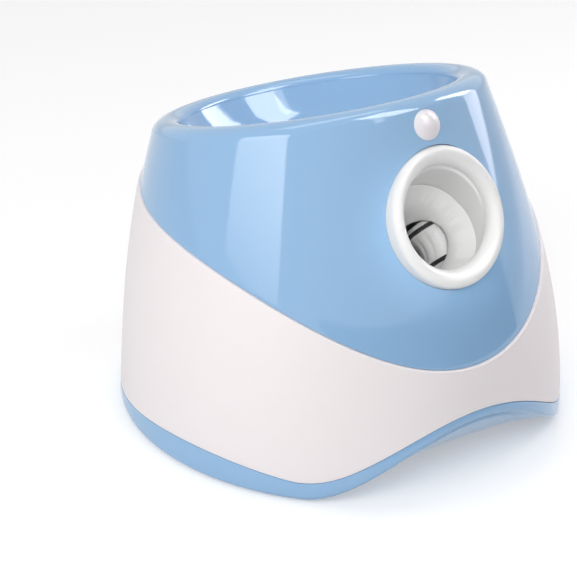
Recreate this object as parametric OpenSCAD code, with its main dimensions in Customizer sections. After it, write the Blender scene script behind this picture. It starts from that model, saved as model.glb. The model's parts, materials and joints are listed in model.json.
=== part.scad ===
// Ball launcher for mini tennis balls: a bowl on top feeds one ball at a time to two spinning wheels.
// The front, with the muzzle, faces -Y. The origin is on the ground, in the middle of the machine's
// length and width.

/* [Body] */
// Radius of the round base
base_r = 160; // [152:1:172]
// How far the side walls lean in by the reference height
side_lean = 65.8; // [60:0.1:70]
// How far the side walls straighten again by the reference height
side_ease = 12.8; // [8:0.1:16]
// How far the body leans back by the reference height
back_lean = 67.6; // [62:0.1:72]
// How far that backward lean eases by the reference height
back_ease = 36.4; // [32:0.1:40]
// Wall thickness of both casings
shell_wall = 2.8; // [2.2:0.1:3.4]
// How far the lower casing stands out past the upper one
shell_step = 1.8; // [1:0.1:2.4]
// Height of the seam between the casings at the sides and the back
seam_side_z = 157.5; // [150:0.5:162]
// How far the seam dips at the front
seam_dip = 69; // [60:0.5:74]
// Half width of that dip, in degrees round the body
seam_spread = 54.3; // [48:0.1:60]

/* [Base] */
// Height of the base tray's underside over the ground
tray_z = 1.5; // [1:0.1:2.5]
// Thickness of the base tray's floor
floor_t = 3; // [2.5:0.1:4]
// Height of the arch under the muzzle
arch_h = 49; // [40:0.5:52]
// Half width of that arch, in degrees round the body
arch_spread = 47; // [40:0.5:48]
// Height of the base band where the body stands on the ground
band_h = 10.5; // [8:0.1:14]
// Radius of the base's rounded lower edge
edge_round = 4; // [3:0.1:9]
// Radius of the flat middle of the floor
flat_r = 84; // [83:0.5:90]
// Radius of each rubber foot
foot_r = 10; // [7:0.5:11]

/* [Bowl] */
// Tilt of the bowl's rim, front edge high
rim_tilt = 18.1; // [15:0.1:20]
// Distance of the rim's centre behind the base's centre
rim_y = 40; // [38:0.1:43]
// Height of the rim's centre, at the lower edge of its rounded lip
rim_z = 214.4; // [210:0.1:218]
// Radius of the bowl inside the lip
bowl_r = 98; // [94:0.1:100]
// Height of the rounded lip
lip_h = 8; // [6:0.1:10]
// Wall thickness of the bowl
bowl_wall = 2.5; // [2:0.1:3]
// Depth of the bowl's throat below the rim
throat_d = 62; // [58:0.5:65]
// Slope of the bowl's floor against the rim
bowl_slope = 30; // [27:0.5:32]

/* [Ball path] */
// Radius of the ball
ball_r = 25; // [24:0.1:25.5]
// Radial room round the ball in the barrel and the trough
ball_room = 1.5; // [1:0.1:2]
// Radial room round the ball in the throat and the chute
throat_room = 3; // [2.5:0.1:4]
// Launch angle over the ground
launch_angle = 45; // [43:0.5:47]
// Distance of the barrel's front face in front of the base's centre
barrel_y = 89.8; // [87:0.1:92]
// Height of the centre of the barrel's front face
barrel_z = 165.5; // [163:0.1:168]
// Wall thickness of the barrel
barrel_wall = 2.5; // [2:0.1:3]
// Length of the barrel
barrel_l = 82; // [80:0.5:84]
// Radius of the barrel's front flange
flange_r = 39.5; // [38.8:0.1:40]
// Length of the barrel's flared mouth
flare_l = 14; // [10:0.5:18]

/* [Muzzle] */
// Radius of the muzzle ring
bezel_r = 48.9; // [47:0.1:50]
// Radius of the opening in the muzzle ring
muzzle_r = 35.6; // [34.5:0.1:36.5]
// Angle of the muzzle ring's axis over the ground
bezel_angle = 28; // [26:0.5:30]
// Distance of the muzzle ring's centre in front of the base's centre
bezel_y = 105.5; // [104:0.1:107]
// Height of the muzzle ring's centre
bezel_z = 183.9; // [182:0.1:186]
// How far the muzzle ring stands out
bezel_out = 6; // [4:0.1:8]
// Radius of the sensor dome
dome_r = 10.6; // [9:0.1:11.5]
// Height of the sensor dome's centre
dome_z = 242; // [240:0.1:243]
// Angle of the sensor dome's axis over the ground
dome_angle = 28.5; // [26:0.5:31]

/* [Launch wheels] */
// Distance of the wheels' axles behind the barrel's front face
wheel_l = 45; // [44:0.5:46]
// Radius of the rubber grip rings
ring_r = 39; // [38:0.1:40]
// Distance of each grip ring from the middle of its wheel
ring_at = 13; // [12:0.1:14]
// Width of a grip ring
ring_w = 3.4; // [2.6:0.1:4]
// Depth of a grip ring in its groove
ring_deep = 2; // [1.5:0.1:2.5]
// How far the drum's edge lies inside the grip rings
drum_drop = 2.5; // [2:0.1:3.5]
// How much further the drum is hollowed at its middle
drum_hollow = 3.5; // [2:0.1:4]
// Width of a launch wheel
wheel_w = 36; // [35:0.5:38]
// How far the rings press into each side of the ball
ball_grip = 1.8; // [1:0.1:2.5]
// Radius of a wheel motor
motor_r = 14; // [12:0.1:14.5]
// Length of a wheel motor
motor_l = 38; // [34:0.5:40]
// Radius of the wheel motors' axles
axle_r = 1.6; // [1.5:0.05:2]

/* [Feeder] */
// Distance of the paddle's shaft behind the barrel's front face
paddle_l = 106; // [104:0.5:108]
// Distance of the paddle's shaft below the barrel's axis
paddle_w = 45; // [44:0.5:46]
// Reach of the paddle's arms
paddle_reach = 40; // [38:0.5:41]
// Width of the paddle
paddle_width = 8; // [6:0.1:9]
// Radius of the paddle's shaft
shaft_r = 3; // [2.5:0.1:3.5]
// Distance of the trough's end wall behind the barrel's front face
trough_end_l = 151; // [149:0.5:153]
// Thickness of the cradle's cheeks
cheek_t = 3.5; // [3:0.1:4]
// Tooth size (module) of the feeder's gears
gear_module = 1.25; // [1.1:0.05:1.3]
// Teeth of the feeder's gear
gear_teeth = 36; // [34:1:38]
// Teeth of the feeder's pinion
pinion_teeth = 12; // [12:1:14]
// Face width of the feeder's gear
gear_w = 5; // [4:0.1:6]
// Radius of the feeder's motor
feeder_motor_r = 12; // [10:0.1:13]
// Length of the feeder's motor
feeder_motor_l = 30; // [26:0.5:34]

/* [Rear panel] */
// Height of the rear panel's middle
panel_z = 84; // [80:0.5:88]
// Width of the rear panel
panel_w = 92; // [86:0.5:98]
// Height of the rear panel
panel_h = 34; // [32:0.5:38]
// Radius of the power button
power_r = 8.5; // [7:0.1:9]
// Radius of the range button
range_r = 6.5; // [5:0.1:7]
// Travel of both buttons
button_travel = 1.6; // [1:0.1:2]
// Radius of the low-voltage plug that the inlet takes
plug_r = 2.75; // [2.5:0.05:3]

/* [Batteries] */
// Radius of a battery cell
cell_r = 13.1; // [12.5:0.1:13.5]
// Length of a battery cell
cell_l = 50; // [48:0.5:50.5]
// Distance of the battery box's front wall behind the base's centre
box_y = 26; // [25:0.5:30]
// Wall thickness of the battery box
box_wall = 2; // [1.6:0.1:2.4]

/* [Hidden] */

// Fits and small common sizes
$fn = 96;
eps = 0.01;
run_fit = 0.06;
slide_fit = 0.3;
bolt_r = 1.5;
head_r = 2.9;
head_h = 2;

// Colours
blue = [0.62, 0.76, 0.90];
white = [0.93, 0.90, 0.90];
rubber = [0.10, 0.10, 0.11];
steel = [0.72, 0.73, 0.75];
board_green = [0.10, 0.35, 0.22];

// How far the base's centre lies in front of the origin
base_forward = 4.7;
module in_frame() { translate([0, -base_forward, 0]) children(); }

// ---- The body's surface -------------------------------------------------------------------------
// The body is a stack of circles. Its radius and the place of its centre follow two smooth curves
// of the height. An angle of 0 is the front, and 90 the right-hand side.
shape_h = 250;
function body_r(z) = base_r - side_lean * pow(z / shape_h, 2) + side_ease * pow(z / shape_h, 3);
function body_y(z) = back_lean * pow(z / shape_h, 2) - back_ease * pow(z / shape_h, 3);
function on_body(a, z, inset = 0) =
    let (r = body_r(z) - inset) [r * sin(a), body_y(z) - r * cos(a), z];

columns = 72;
function column_angle(i) = -180 + 360 * i / columns;

// A swell that falls smoothly to nothing at +-spread
function swell(a, spread) = abs(a) < spread ? pow(1 - pow(a / spread, 2), 2) : 0;
// A blend from 0 to 1
function ease(t) = let (u = min(1, max(0, t))) u * u * (3 - 2 * u);

// Seam between the two casings
function seam_z(a) = seam_side_z - seam_dip * exp(-pow(a / seam_spread, 2));

// Lower edge of the base: on the ground, and arched at the front
function sole_z(a) = tray_z + arch_h * swell(a, arch_spread);

// Upper edge of the base band: it follows the arch, and swells at the sides and the back
side_swell = 10;
side_swell_at = 78;
side_swell_spread = 44;
band_drop = 3.5;
band_wider = 3;
back_swell = 7;
back_swell_spread = 40;
function band_z(a) = tray_z + band_h + (arch_h - band_drop) * swell(a, arch_spread + band_wider)
    + side_swell * swell(abs(a) - side_swell_at, side_swell_spread)
    + back_swell * swell(180 - abs(a), back_swell_spread);

// How far the lower casing's face stands out of the body's surface
function step_at(a, z) = shell_step * ease((z - band_z(a)) / (seam_z(a) - band_z(a)));

// A closed ring made of one closed outline per column. All outlines have as many points.
module outline_ring(outlines) {
    m = len(outlines[0]);
    n = len(outlines);
    points = [for (o = outlines) for (p = o) p];
    faces = [for (i = [0:n - 1]) for (j = [0:m - 1])
        let (i2 = (i + 1) % n, j2 = (j + 1) % m)
        each [[i * m + j, i * m + j2, i2 * m + j2], [i * m + j, i2 * m + j2, i2 * m + j]]];
    polyhedron(points, faces, convexity = 6);
}

// ---- The rim ------------------------------------------------------------------------------------
// The rim's own frame: w along the bowl's axis, v towards the back, in the rim's plane
module in_rim() { translate([0, rim_y, rim_z]) rotate([-rim_tilt, 0, 0]) children(); }
function from_rim(p) = [p[0], rim_y + p[1] * cos(rim_tilt) + p[2] * sin(rim_tilt),
                        rim_z - p[1] * sin(rim_tilt) + p[2] * cos(rim_tilt)];
function rim_v(p) = (p[1] - rim_y) * cos(rim_tilt) - (p[2] - rim_z) * sin(rim_tilt);
function rim_w(p) = (p[1] - rim_y) * sin(rim_tilt) + (p[2] - rim_z) * cos(rim_tilt);

// Height at which the body's surface meets the rim's plane, found by halving
function rim_edge_z(a, low = 150, high = 280, steps = 24) =
    steps == 0 ? (low + high) / 2 :
    let (mid = (low + high) / 2)
    rim_w(on_body(a, mid)) > 0 ? rim_edge_z(a, low, mid, steps - 1)
                               : rim_edge_z(a, mid, high, steps - 1);

// Lean of the body's wall against the bowl's axis, where the lip starts to round over
function lip_start(a) = 20 - 12 * cos(a);
lip_return = 6;
lip_steps = 8;

// The rounded lip as points from the outer edge over the crest to the inner edge
function lip_arc(edge, a, wall) =
    let (rho = norm([edge[0], rim_v(edge)]),
         half = (rho - bowl_r) / (1 + cos(lip_start(a))),
         mid = bowl_r + half)
    [for (k = [0:lip_steps])
        let (t = lip_start(a) + (180 - lip_start(a)) * k / lip_steps,
             r = mid + (half - wall) * cos(t),
             w = lip_h * (sin(t) - sin(lip_start(a)) * (1 - k / lip_steps)) - wall * sin(t))
        from_rim([edge[0] / rho * r, rim_v(edge) / rho * r, w])];

function rim_point(edge, r, w) =
    let (rho = norm([edge[0], rim_v(edge)])) from_rim([edge[0] / rho * r, rim_v(edge) / rho * r, w]);

wall_steps = 8;
function upper_outline(a) =
    let (top = rim_edge_z(a), low = seam_z(a), edge = on_body(a, top),
         arc_out = lip_arc(edge, a, 0), arc_in = lip_arc(edge, a, shell_wall))
    concat([for (k = [0:wall_steps - 1]) on_body(a, low + (top - low) * k / wall_steps)],
           arc_out,
           [rim_point(edge, bowl_r, -lip_return),
            rim_point(edge, bowl_r + shell_wall, -lip_return)],
           [for (k = [lip_steps:-1:1]) arc_in[k]],
           [for (k = [wall_steps - 1:-1:0])
               on_body(a, low + (top - low) * k / wall_steps, shell_wall)]);

// ---- Frames of the muzzle and the barrel ----------------------------------------------------------
// In each, +Z points out of the machine, X to the right and Y up along the face
module in_barrel() {
    translate([0, -barrel_y, barrel_z]) rotate([90 - launch_angle, 0, 0]) children();
}
module in_bezel() {
    translate([0, -bezel_y, bezel_z]) rotate([90 - bezel_angle, 0, 0]) children();
}
// A point given by its distance along the barrel (l) and above its axis (w), seen from the side
function along(l, w) = [-barrel_y + l * cos(launch_angle) + w * sin(launch_angle),
                        barrel_z - l * sin(launch_angle) + w * cos(launch_angle)];
// Turns a drawing so that it faces +X, with its x along +Y and its y along +Z
module facing_x() { rotate([90, 0, 90]) children(); }
// Turns a cylinder so that it points along +Y
module facing_y() { rotate([-90, 0, 0]) children(); }

dome_y = body_y(dome_z) - body_r(dome_z);
module in_dome() { translate([0, dome_y, dome_z]) rotate([90 - dome_angle, 0, 0]) children(); }
dome_deep = 8;
sensor_board_t = 1.6;
sensor_side = 1;
pocket_room = 0.5;

// ---- Casings --------------------------------------------------------------------------------------
post_inset = 7;
post_z = 166;
boss_h = 8;
post_r = 5;
post_bore_r = 3.4;
post_shelf = 6;
post_angles = [-120, -60, 60, 120];
// How far the muzzle ring's hole is cut to both sides of the ring's face
bezel_cut = 40;
function post_at(a) = on_body(a, post_z + boss_h / 2, post_inset);

module upper_shell() {
    color(blue) difference() {
        union() {
            outline_ring([for (i = [0:columns - 1]) upper_outline(column_angle(i))]);
            for (a = post_angles)
                translate([post_at(a)[0], post_at(a)[1], post_z])
                    cylinder(r = post_r - 0.5, h = boss_h);
        }
        in_bezel() translate([0, 0, -bezel_cut]) cylinder(r = bezel_r + slide_fit, h = 2 * bezel_cut);
        in_dome() translate([0, 0, -20]) cylinder(r = dome_r, h = 40);
        for (a = post_angles)
            translate([post_at(a)[0], post_at(a)[1], post_z - eps])
                cylinder(r = bolt_r, h = boss_h - 1);
    }
}

tongue_h = 6;
tongue_gap = 0.3;
tongue_t = 2;
lower_steps = 6;
function lower_outline(a) =
    let (top = seam_z(a), low = band_z(a), tongue = shell_wall + tongue_gap)
    concat([for (k = [0:lower_steps]) let (z = low + (top - 1 - low) * k / lower_steps)
               on_body(a, z, -step_at(a, z))],
           [on_body(a, top, 0.6 - shell_step), on_body(a, top, tongue),
            on_body(a, top + tongue_h, tongue), on_body(a, top + tongue_h, tongue + tongue_t),
            on_body(a, top - tongue_h, tongue + tongue_t)],
           [for (k = [lower_steps - 1:-1:0]) let (z = low + (top - 2 * tongue_h - low) * k / lower_steps)
               on_body(a, z, shell_wall)]);

module lower_shell() {
    color(white) difference() {
        outline_ring([for (i = [0:columns - 1]) lower_outline(column_angle(i))]);
        panel_block(slide_fit, 30);
        for (a = post_angles) translate([post_at(a)[0], post_at(a)[1], 0])
            cylinder(r = post_r + slide_fit, h = post_z);
    }
}

// Height of the floor's underside over the lowest level, rising from the flat middle to the rim
function floor_lift(a, r, rim) = (sole_z(a) - tray_z) * pow(max(0, (r - flat_r) / (rim - flat_r)), 2);
floor_steps = 6;
edge_steps = 4;
floor_lap = 2;
function tray_outline(a) =
    let (sole = sole_z(a), top = band_z(a), edge = min(edge_round, (top - sole) * 0.85),
         tongue = shell_wall + tongue_gap, inner = tongue + tongue_t,
         rim = body_r(sole) - edge_round, start = flat_r - floor_lap, span = rim - start)
    concat([for (k = [0:edge_steps]) let (t = 90 * k / edge_steps)
               on_body(a, sole + edge * (1 - cos(t)), edge_round * (1 - sin(t)))],
           [on_body(a, top, 0), on_body(a, top, tongue), on_body(a, top + tongue_h, tongue),
            on_body(a, top + tongue_h, inner)],
           [for (k = [floor_steps - 1:-1:0]) let (r = start + span * k / floor_steps)
               [r * sin(a), -r * cos(a), tray_z + floor_t + floor_lift(a, r, rim)]],
           [for (k = [0:floor_steps - 1]) let (r = start + span * k / floor_steps)
               [r * sin(a), -r * cos(a), tray_z + floor_lift(a, r, rim)]]);

cell_room = 0.3;
cell_end_room = 3;
box_in_x = cell_l + cell_end_room;
box_in_y = 6 * cell_r + 8 * cell_room;
box_in_z = 2 * cell_r + 4 * cell_room;
box_mid_y = box_y + box_wall + box_in_y / 2;
floor_z = tray_z + floor_t;
foot_at_r = 126;
foot_angles = [-140, -53, 53, 140];
// The cradle's foot screws
cradle_foot_w = 9;
cradle_front_y = -70;
cradle_back_y = 16;
cradle_screw_y = [-62, 8];

module base_tray() {
    color(blue) difference() {
        union() {
            outline_ring([for (i = [0:columns - 1]) tray_outline(column_angle(i))]);
            translate([0, 0, tray_z]) cylinder(r = flat_r, h = floor_t);
            for (a = post_angles)
                translate([post_at(a)[0], post_at(a)[1], tray_z])
                    cylinder(r = post_r, h = post_z - tray_z);
        }
        for (a = post_angles) translate([post_at(a)[0], post_at(a)[1], 0]) {
            cylinder(r = post_bore_r, h = post_z - post_shelf);
            cylinder(r = bolt_r + 0.15, h = post_z + 1);
        }
        translate([-box_in_x + 1, box_y + box_wall + 1, 0])
            cube([2 * box_in_x - 2, box_in_y - 2, 10]);
        for (s = [-1, 1]) for (y = cradle_screw_y)
            translate([s * (cheek_x + cheek_t + cradle_foot_w / 2), y, 0]) {
                cylinder(r = bolt_r, h = 10);
                cylinder(r = head_r + 0.2, h = tray_z + 1.2);
            }
    }
}

module rubber_feet() {
    color(rubber) for (a = foot_angles)
        translate([foot_at_r * sin(a), -foot_at_r * cos(a), 0]) cylinder(r = foot_r, h = tray_z);
}

module shell_screws() {
    color(steel) for (a = post_angles)
        translate([post_at(a)[0], post_at(a)[1], post_z - post_shelf - head_h]) {
            cylinder(r = head_r, h = head_h);
            cylinder(r = bolt_r, h = head_h + post_shelf + boss_h - 2);
        }
}

// ---- Bowl and chute -------------------------------------------------------------------------------
throat_r = ball_r + throat_room;
chute_flange_r = throat_r + 9;
bowl_seat_r = bowl_r + 5;
bowl_top_w = -1;
bowl_edge_t = 0.8;
bowl_curve_in = 14;
bowl_wall_w = -throat_d + (bowl_r - bowl_curve_in - throat_r) * tan(bowl_slope);

// Wall thickness of the bowl: thin at its edge, so that it follows on from the lip
function bowl_wall_at(t) =
    bowl_edge_t + (bowl_wall - bowl_edge_t) * (1 - pow(max(0, 1 - 2 * t), 2));
// Inner side of the bowl: a steep curved wall over a cone
bowl_curve = [for (k = [0:8]) let (t = k / 8)
    [bowl_r - tongue_gap - bowl_wall_at(t) - bowl_curve_in * t * t,
     bowl_top_w + (bowl_wall_w - bowl_top_w) * t]];

// Room for the sensor, should the bowl's wall come near it. Seen from the rim's frame
module sensor_pocket() {
    rotate([rim_tilt, 0, 0]) translate([0, -rim_y, -rim_z]) in_dome()
        translate([0, 0, -dome_deep - sensor_board_t - pocket_room])
            cylinder(r = dome_r + pocket_room, h = dome_deep + sensor_board_t);
}

module hopper_bowl() {
    inner = concat(bowl_curve, [[throat_r, -throat_d]]);
    outer = concat([[throat_r, -throat_d - bowl_wall], [chute_flange_r, -throat_d - bowl_wall]],
        [[bowl_r - 12, bowl_wall_w - bowl_wall], [bowl_r - 7, bowl_wall_w * 0.7],
         [bowl_r - 2.5, -lip_return - 8],
         [bowl_seat_r, -lip_return - 5], [bowl_seat_r, -lip_return],
         [bowl_r - tongue_gap, -lip_return], [bowl_r - tongue_gap, bowl_top_w]]);
    color(blue) in_rim() difference() {
        rotate_extrude($fn = 128) polygon(concat(inner, outer));
        chute_bolts() translate([0, 0, -1]) cylinder(r = bolt_r, h = 3, $fn = 24);
        sensor_pocket();
    }
}

chute_l = 24;
chute_t = 2.2;
// The balls' way down, along the bowl's axis
module drop_path() { in_rim() translate([0, 0, -throat_d - 85]) cylinder(r = throat_r, h = 85); }
module chute_bolts() {
    for (a = [30:60:330]) rotate(a)
        translate([throat_r + 5.5, 0, -throat_d - bowl_wall]) children();
}
module drop_chute() {
    color(white) in_rim() translate([0, 0, -throat_d - bowl_wall]) difference() {
        union() {
            translate([0, 0, -chute_t]) cylinder(r = chute_flange_r, h = chute_t);
            translate([0, 0, -chute_l]) cylinder(r = throat_r + chute_t, h = chute_l);
        }
        translate([0, 0, -chute_l - 1]) cylinder(r = throat_r, h = chute_l + 2);
        translate([0, 0, throat_d + bowl_wall]) chute_bolts()
            translate([0, 0, -chute_t - 1]) cylinder(r = bolt_r, h = chute_t + 2, $fn = 24);
    }
}
module chute_screws() {
    color(steel) in_rim() chute_bolts() translate([0, 0, -chute_t]) {
        translate([0, 0, -head_h]) cylinder(r = head_r, h = head_h, $fn = 24);
        cylinder(r = bolt_r, h = chute_t + 1.8, $fn = 24);
    }
}

// ---- Muzzle and barrel ----------------------------------------------------------------------------
sleeve_t = 2.8;
bezel_deep = 9;
bezel_lip_w = bezel_r - muzzle_r;
barrel_r = ball_r + ball_room;
flange_t = 3;
plate_t = 3;
plate_x = 78;
plate_gap = 3;
plate_top = -wheel_w / 2 - plate_gap;
plate_half_l = 24;
ring_reach = sqrt(pow(ball_r, 2) - pow(ring_at, 2));
wheel_x = ring_r + ring_reach - ball_grip;
window_room = 2;

// Section of the muzzle ring: rounded in front, with a plain skirt behind
function bezel_section() = concat(
    [[bezel_r, -bezel_deep], [bezel_r, bezel_out - 5]],
    [for (k = [1:5]) let (t = 90 * k / 6) [bezel_r - 5 + 5 * cos(t), bezel_out - 5 + 5 * sin(t)]],
    [for (k = [0:8]) let (t = 90 * k / 8)
        [muzzle_r + (bezel_lip_w - 5) * (1 - sin(t)), bezel_out - 9 + 9 * cos(t)]],
    [[muzzle_r, -4], [bezel_r - sleeve_t, -4 - 3], [bezel_r - sleeve_t, -bezel_deep]]);

module muzzle_bezel() {
    color(white) difference() {
        union() {
            in_bezel() rotate_extrude() polygon(bezel_section());
            difference() {
                in_barrel() cylinder(r = muzzle_r + sleeve_t, h = 60);
                in_bezel() translate([-100, -100, -3]) cube([200, 200, 100]);
            }
        }
        in_barrel() translate([0, 0, -1]) cylinder(r = muzzle_r, h = 21);
        in_bezel() translate([0, 0, -8]) cylinder(r = muzzle_r - eps, h = 20);
    }
}

module at_wheel(side) { in_barrel() translate([side * wheel_x, 0, -wheel_l]) facing_y() children(); }
motor_bolt_at = 8;
module motor_bolts(side) {
    at_wheel(side) for (s = [-1, 1]) translate([0, s * motor_bolt_at, 0]) children();
}

module barrel() {
    color(white) difference() {
        union() {
            in_barrel() translate([0, 0, -barrel_l]) cylinder(r = barrel_r + barrel_wall, h = barrel_l);
            in_barrel() translate([0, 0, -flange_t]) cylinder(r = flange_r, h = flange_t);
            in_barrel() translate([0, 0, -flare_l])
                cylinder(r1 = barrel_r + barrel_wall, r2 = muzzle_r + barrel_wall, h = flare_l);
            in_barrel() translate([-plate_x, plate_top - plate_t, -wheel_l - plate_half_l])
                cube([2 * plate_x, plate_t, 2 * plate_half_l]);
        }
        in_barrel() translate([0, 0, -barrel_l - 1]) cylinder(r = barrel_r, h = barrel_l + 2);
        in_barrel() translate([0, 0, -flare_l]) cylinder(r1 = barrel_r, r2 = muzzle_r, h = flare_l);
        for (side = [-1, 1]) {
            at_wheel(side) translate([0, 0, plate_top])
                cylinder(r = ring_r + window_room, h = wheel_w + 2 * plate_gap);
            at_wheel(side) translate([0, 0, plate_top - plate_t - 1])
                cylinder(r = motor_boss_r + 0.1, h = plate_t + 2);
            motor_bolts(side) translate([0, 0, plate_top - plate_t - 1])
                cylinder(r = bolt_r, h = plate_t + 2, $fn = 24);
        }
        in_barrel() translate([-paddle_slot / 2, -barrel_r - 10, -barrel_l - 1])
            cube([paddle_slot, 15, 15]);
        drop_path();
    }
}

// ---- Wheels and their motors ----------------------------------------------------------------------
motor_boss_r = 4;
hub_r = 7;
web_t = 4;
rim_t = 4;
drum_r = ring_r - drum_drop;
seat_r = drum_r - ring_deep;
axle_up = wheel_w / 2 - 2;
axle_in = 12;

// Half of the wheel's outer line, from its middle to its edge
function drum_line() = concat(
    [for (k = [0:6]) let (t = k / 6, y = (ring_at - ring_w / 2) * t) [drum_r - drum_hollow * (1 - t * t), y]],
    [[seat_r, ring_at - ring_w / 2], [seat_r, ring_at + ring_w / 2],
     [drum_r, ring_at + ring_w / 2], [drum_r, wheel_w / 2 - 0.8], [drum_r - 0.8, wheel_w / 2]]);
function mirrored(line) = [for (k = [len(line) - 1:-1:1]) [line[k][0], -line[k][1]]];

module launch_wheel(side) {
    inner_r = seat_r - rim_t;
    at_wheel(side) rotate_extrude() difference() {
        polygon(concat([[axle_r, -wheel_w / 2 + 4]], [[axle_r, wheel_w / 2 - 4]],
                       [[hub_r, wheel_w / 2 - 4]], [[hub_r, web_t / 2]], [[inner_r, web_t / 2]],
                       [[inner_r, wheel_w / 2]],
                       [for (p = reversed(drum_line())) p], reversed(mirrored(drum_line())),
                       [[inner_r, -wheel_w / 2]], [[inner_r, -web_t / 2]], [[hub_r, -web_t / 2]],
                       [[hub_r, -wheel_w / 2 + 4]]));
    }
}
function reversed(line) = [for (k = [len(line) - 1:-1:0]) line[k]];

module grip_rings(side) {
    at_wheel(side) for (s = [-1, 1]) translate([0, 0, s * ring_at - ring_w / 2]) difference() {
        cylinder(r = ring_r, h = ring_w);
        translate([0, 0, -1]) cylinder(r = seat_r, h = ring_w + 2);
    }
}
module wheel_axle(side) {
    at_wheel(side) translate([0, 0, plate_top - plate_t - axle_in])
        cylinder(r = axle_r, h = axle_in + plate_t - plate_top + axle_up);
}
module wheel_motor(side) {
    at_wheel(side) difference() {
        union() {
            translate([0, 0, plate_top - plate_t - motor_l]) cylinder(r = motor_r, h = motor_l);
            translate([0, 0, plate_top - plate_t]) cylinder(r = motor_boss_r, h = 2);
            translate([0, 0, plate_top - plate_t - motor_l - 3]) cylinder(r = motor_boss_r + 1, h = 3);
            for (s = [-1, 1]) translate([s * 8 - 1.5, -0.3, plate_top - plate_t - motor_l - 5])
                cube([3, 0.6, 5]);
        }
        translate([0, 0, plate_top - plate_t - axle_in - 1]) cylinder(r = axle_r + run_fit, h = axle_in + 4);
        for (s = [-1, 1]) translate([0, s * motor_bolt_at, plate_top - plate_t - 5])
            cylinder(r = bolt_r, h = 6, $fn = 24);
    }
}
module wheel_left() { color(white) launch_wheel(-1); }
module wheel_right() { color(white) launch_wheel(1); }
module grips_left() { color(rubber) grip_rings(-1); }
module grips_right() { color(rubber) grip_rings(1); }
module axle_left() { color(steel) wheel_axle(-1); }
module axle_right() { color(steel) wheel_axle(1); }
module motor_left() { color(steel) wheel_motor(-1); }
module motor_right() { color(steel) wheel_motor(1); }
module motor_screws() {
    color(steel) for (side = [-1, 1]) motor_bolts(side) translate([0, 0, plate_top]) {
        cylinder(r = head_r, h = 1.4, $fn = 24);
        translate([0, 0, -plate_t - 4]) cylinder(r = bolt_r, h = plate_t + 4, $fn = 24);
    }
}

// ---- Feeder ---------------------------------------------------------------------------------------
cheek_x = barrel_r + 2;
collar_l = 6;
collar_r = barrel_r + barrel_wall + 3;
trough_r = barrel_r + 3.5;
trough_top = 22;
paddle_slot = paddle_width + 4;
paddle_slot_half_l = 38;
shaft_at = along(paddle_l, -paddle_w);
bush_wall = 2.5;
bush_flange_w = 2;
bush_flange_t = 1.2;
bush_r = shaft_r + bush_wall;
cheek_out = cheek_x + cheek_t;

module cheek_outline() {
    front = barrel_l + 4;
    polygon([along(front, trough_top), along(trough_end_l + 3, trough_top),
             [cradle_back_y + 4, 60], [cradle_back_y, 40], [cradle_back_y, floor_z],
             [cradle_front_y, floor_z], [cradle_front_y - 2, 50], [cradle_front_y - 2, 74],
             along(front - 4, -trough_r)]);
}

module feed_cradle() {
    color(white) difference() {
        union() {
            for (s = [0, 1]) mirror([s, 0, 0]) {
                translate([cheek_x, 0, 0]) facing_x() linear_extrude(cheek_t) cheek_outline();
                translate([cheek_x, cradle_front_y, floor_z])
                    cube([cheek_t + cradle_foot_w, cradle_back_y - cradle_front_y, 3]);
            }
            in_barrel() translate([0, 0, -barrel_l - 3]) cylinder(r = collar_r, h = 3 + collar_l);
            difference() {
                in_barrel() translate([0, 0, -trough_end_l - 3])
                    cylinder(r = trough_r, h = trough_end_l + 3 - barrel_l);
                in_barrel() translate([-60, trough_top, -trough_end_l - 4])
                    cube([120, 60, trough_end_l + 1 - barrel_l]);
            }
        }
        // the ball's way
        in_barrel() translate([0, 0, -trough_end_l]) cylinder(r = barrel_r, h = trough_end_l);
        // the seat of the barrel
        in_barrel() translate([0, 0, -barrel_l])
            cylinder(r = barrel_r + barrel_wall, h = barrel_l);
        drop_path();
        // the open top
        in_barrel() translate([-barrel_r, 0, -trough_end_l])
            cube([2 * barrel_r, 60, trough_end_l - barrel_l - 3]);
        // the paddle's slot
        in_barrel() translate([-paddle_slot / 2, -trough_r - 5, -paddle_l - paddle_slot_half_l])
            cube([paddle_slot, trough_r, 2 * paddle_slot_half_l]);
        // the bushes' seats
        translate([-cheek_out - 1, shaft_at[0], shaft_at[1]]) facing_x()
            cylinder(r = bush_r, h = 2 * cheek_out + 2, $fn = 48);
        // foot screws
        for (s = [-1, 1]) for (y = cradle_screw_y)
            translate([s * (cheek_out + cradle_foot_w / 2), y, 0])
                cylinder(r = bolt_r, h = 20, $fn = 24);
        // gear cover screws
        cover_bolts() translate([0, 0, cheek_x - 1]) cylinder(r = bolt_r, h = cheek_t + 2, $fn = 24);
    }
}
module cradle_screws() {
    color(steel) for (s = [-1, 1]) for (y = cradle_screw_y)
        translate([s * (cheek_out + cradle_foot_w / 2), y, tray_z + 1.2 - head_h]) {
            cylinder(r = head_r, h = head_h, $fn = 24);
            cylinder(r = bolt_r, h = head_h + floor_t + 2, $fn = 24);
        }
}

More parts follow.
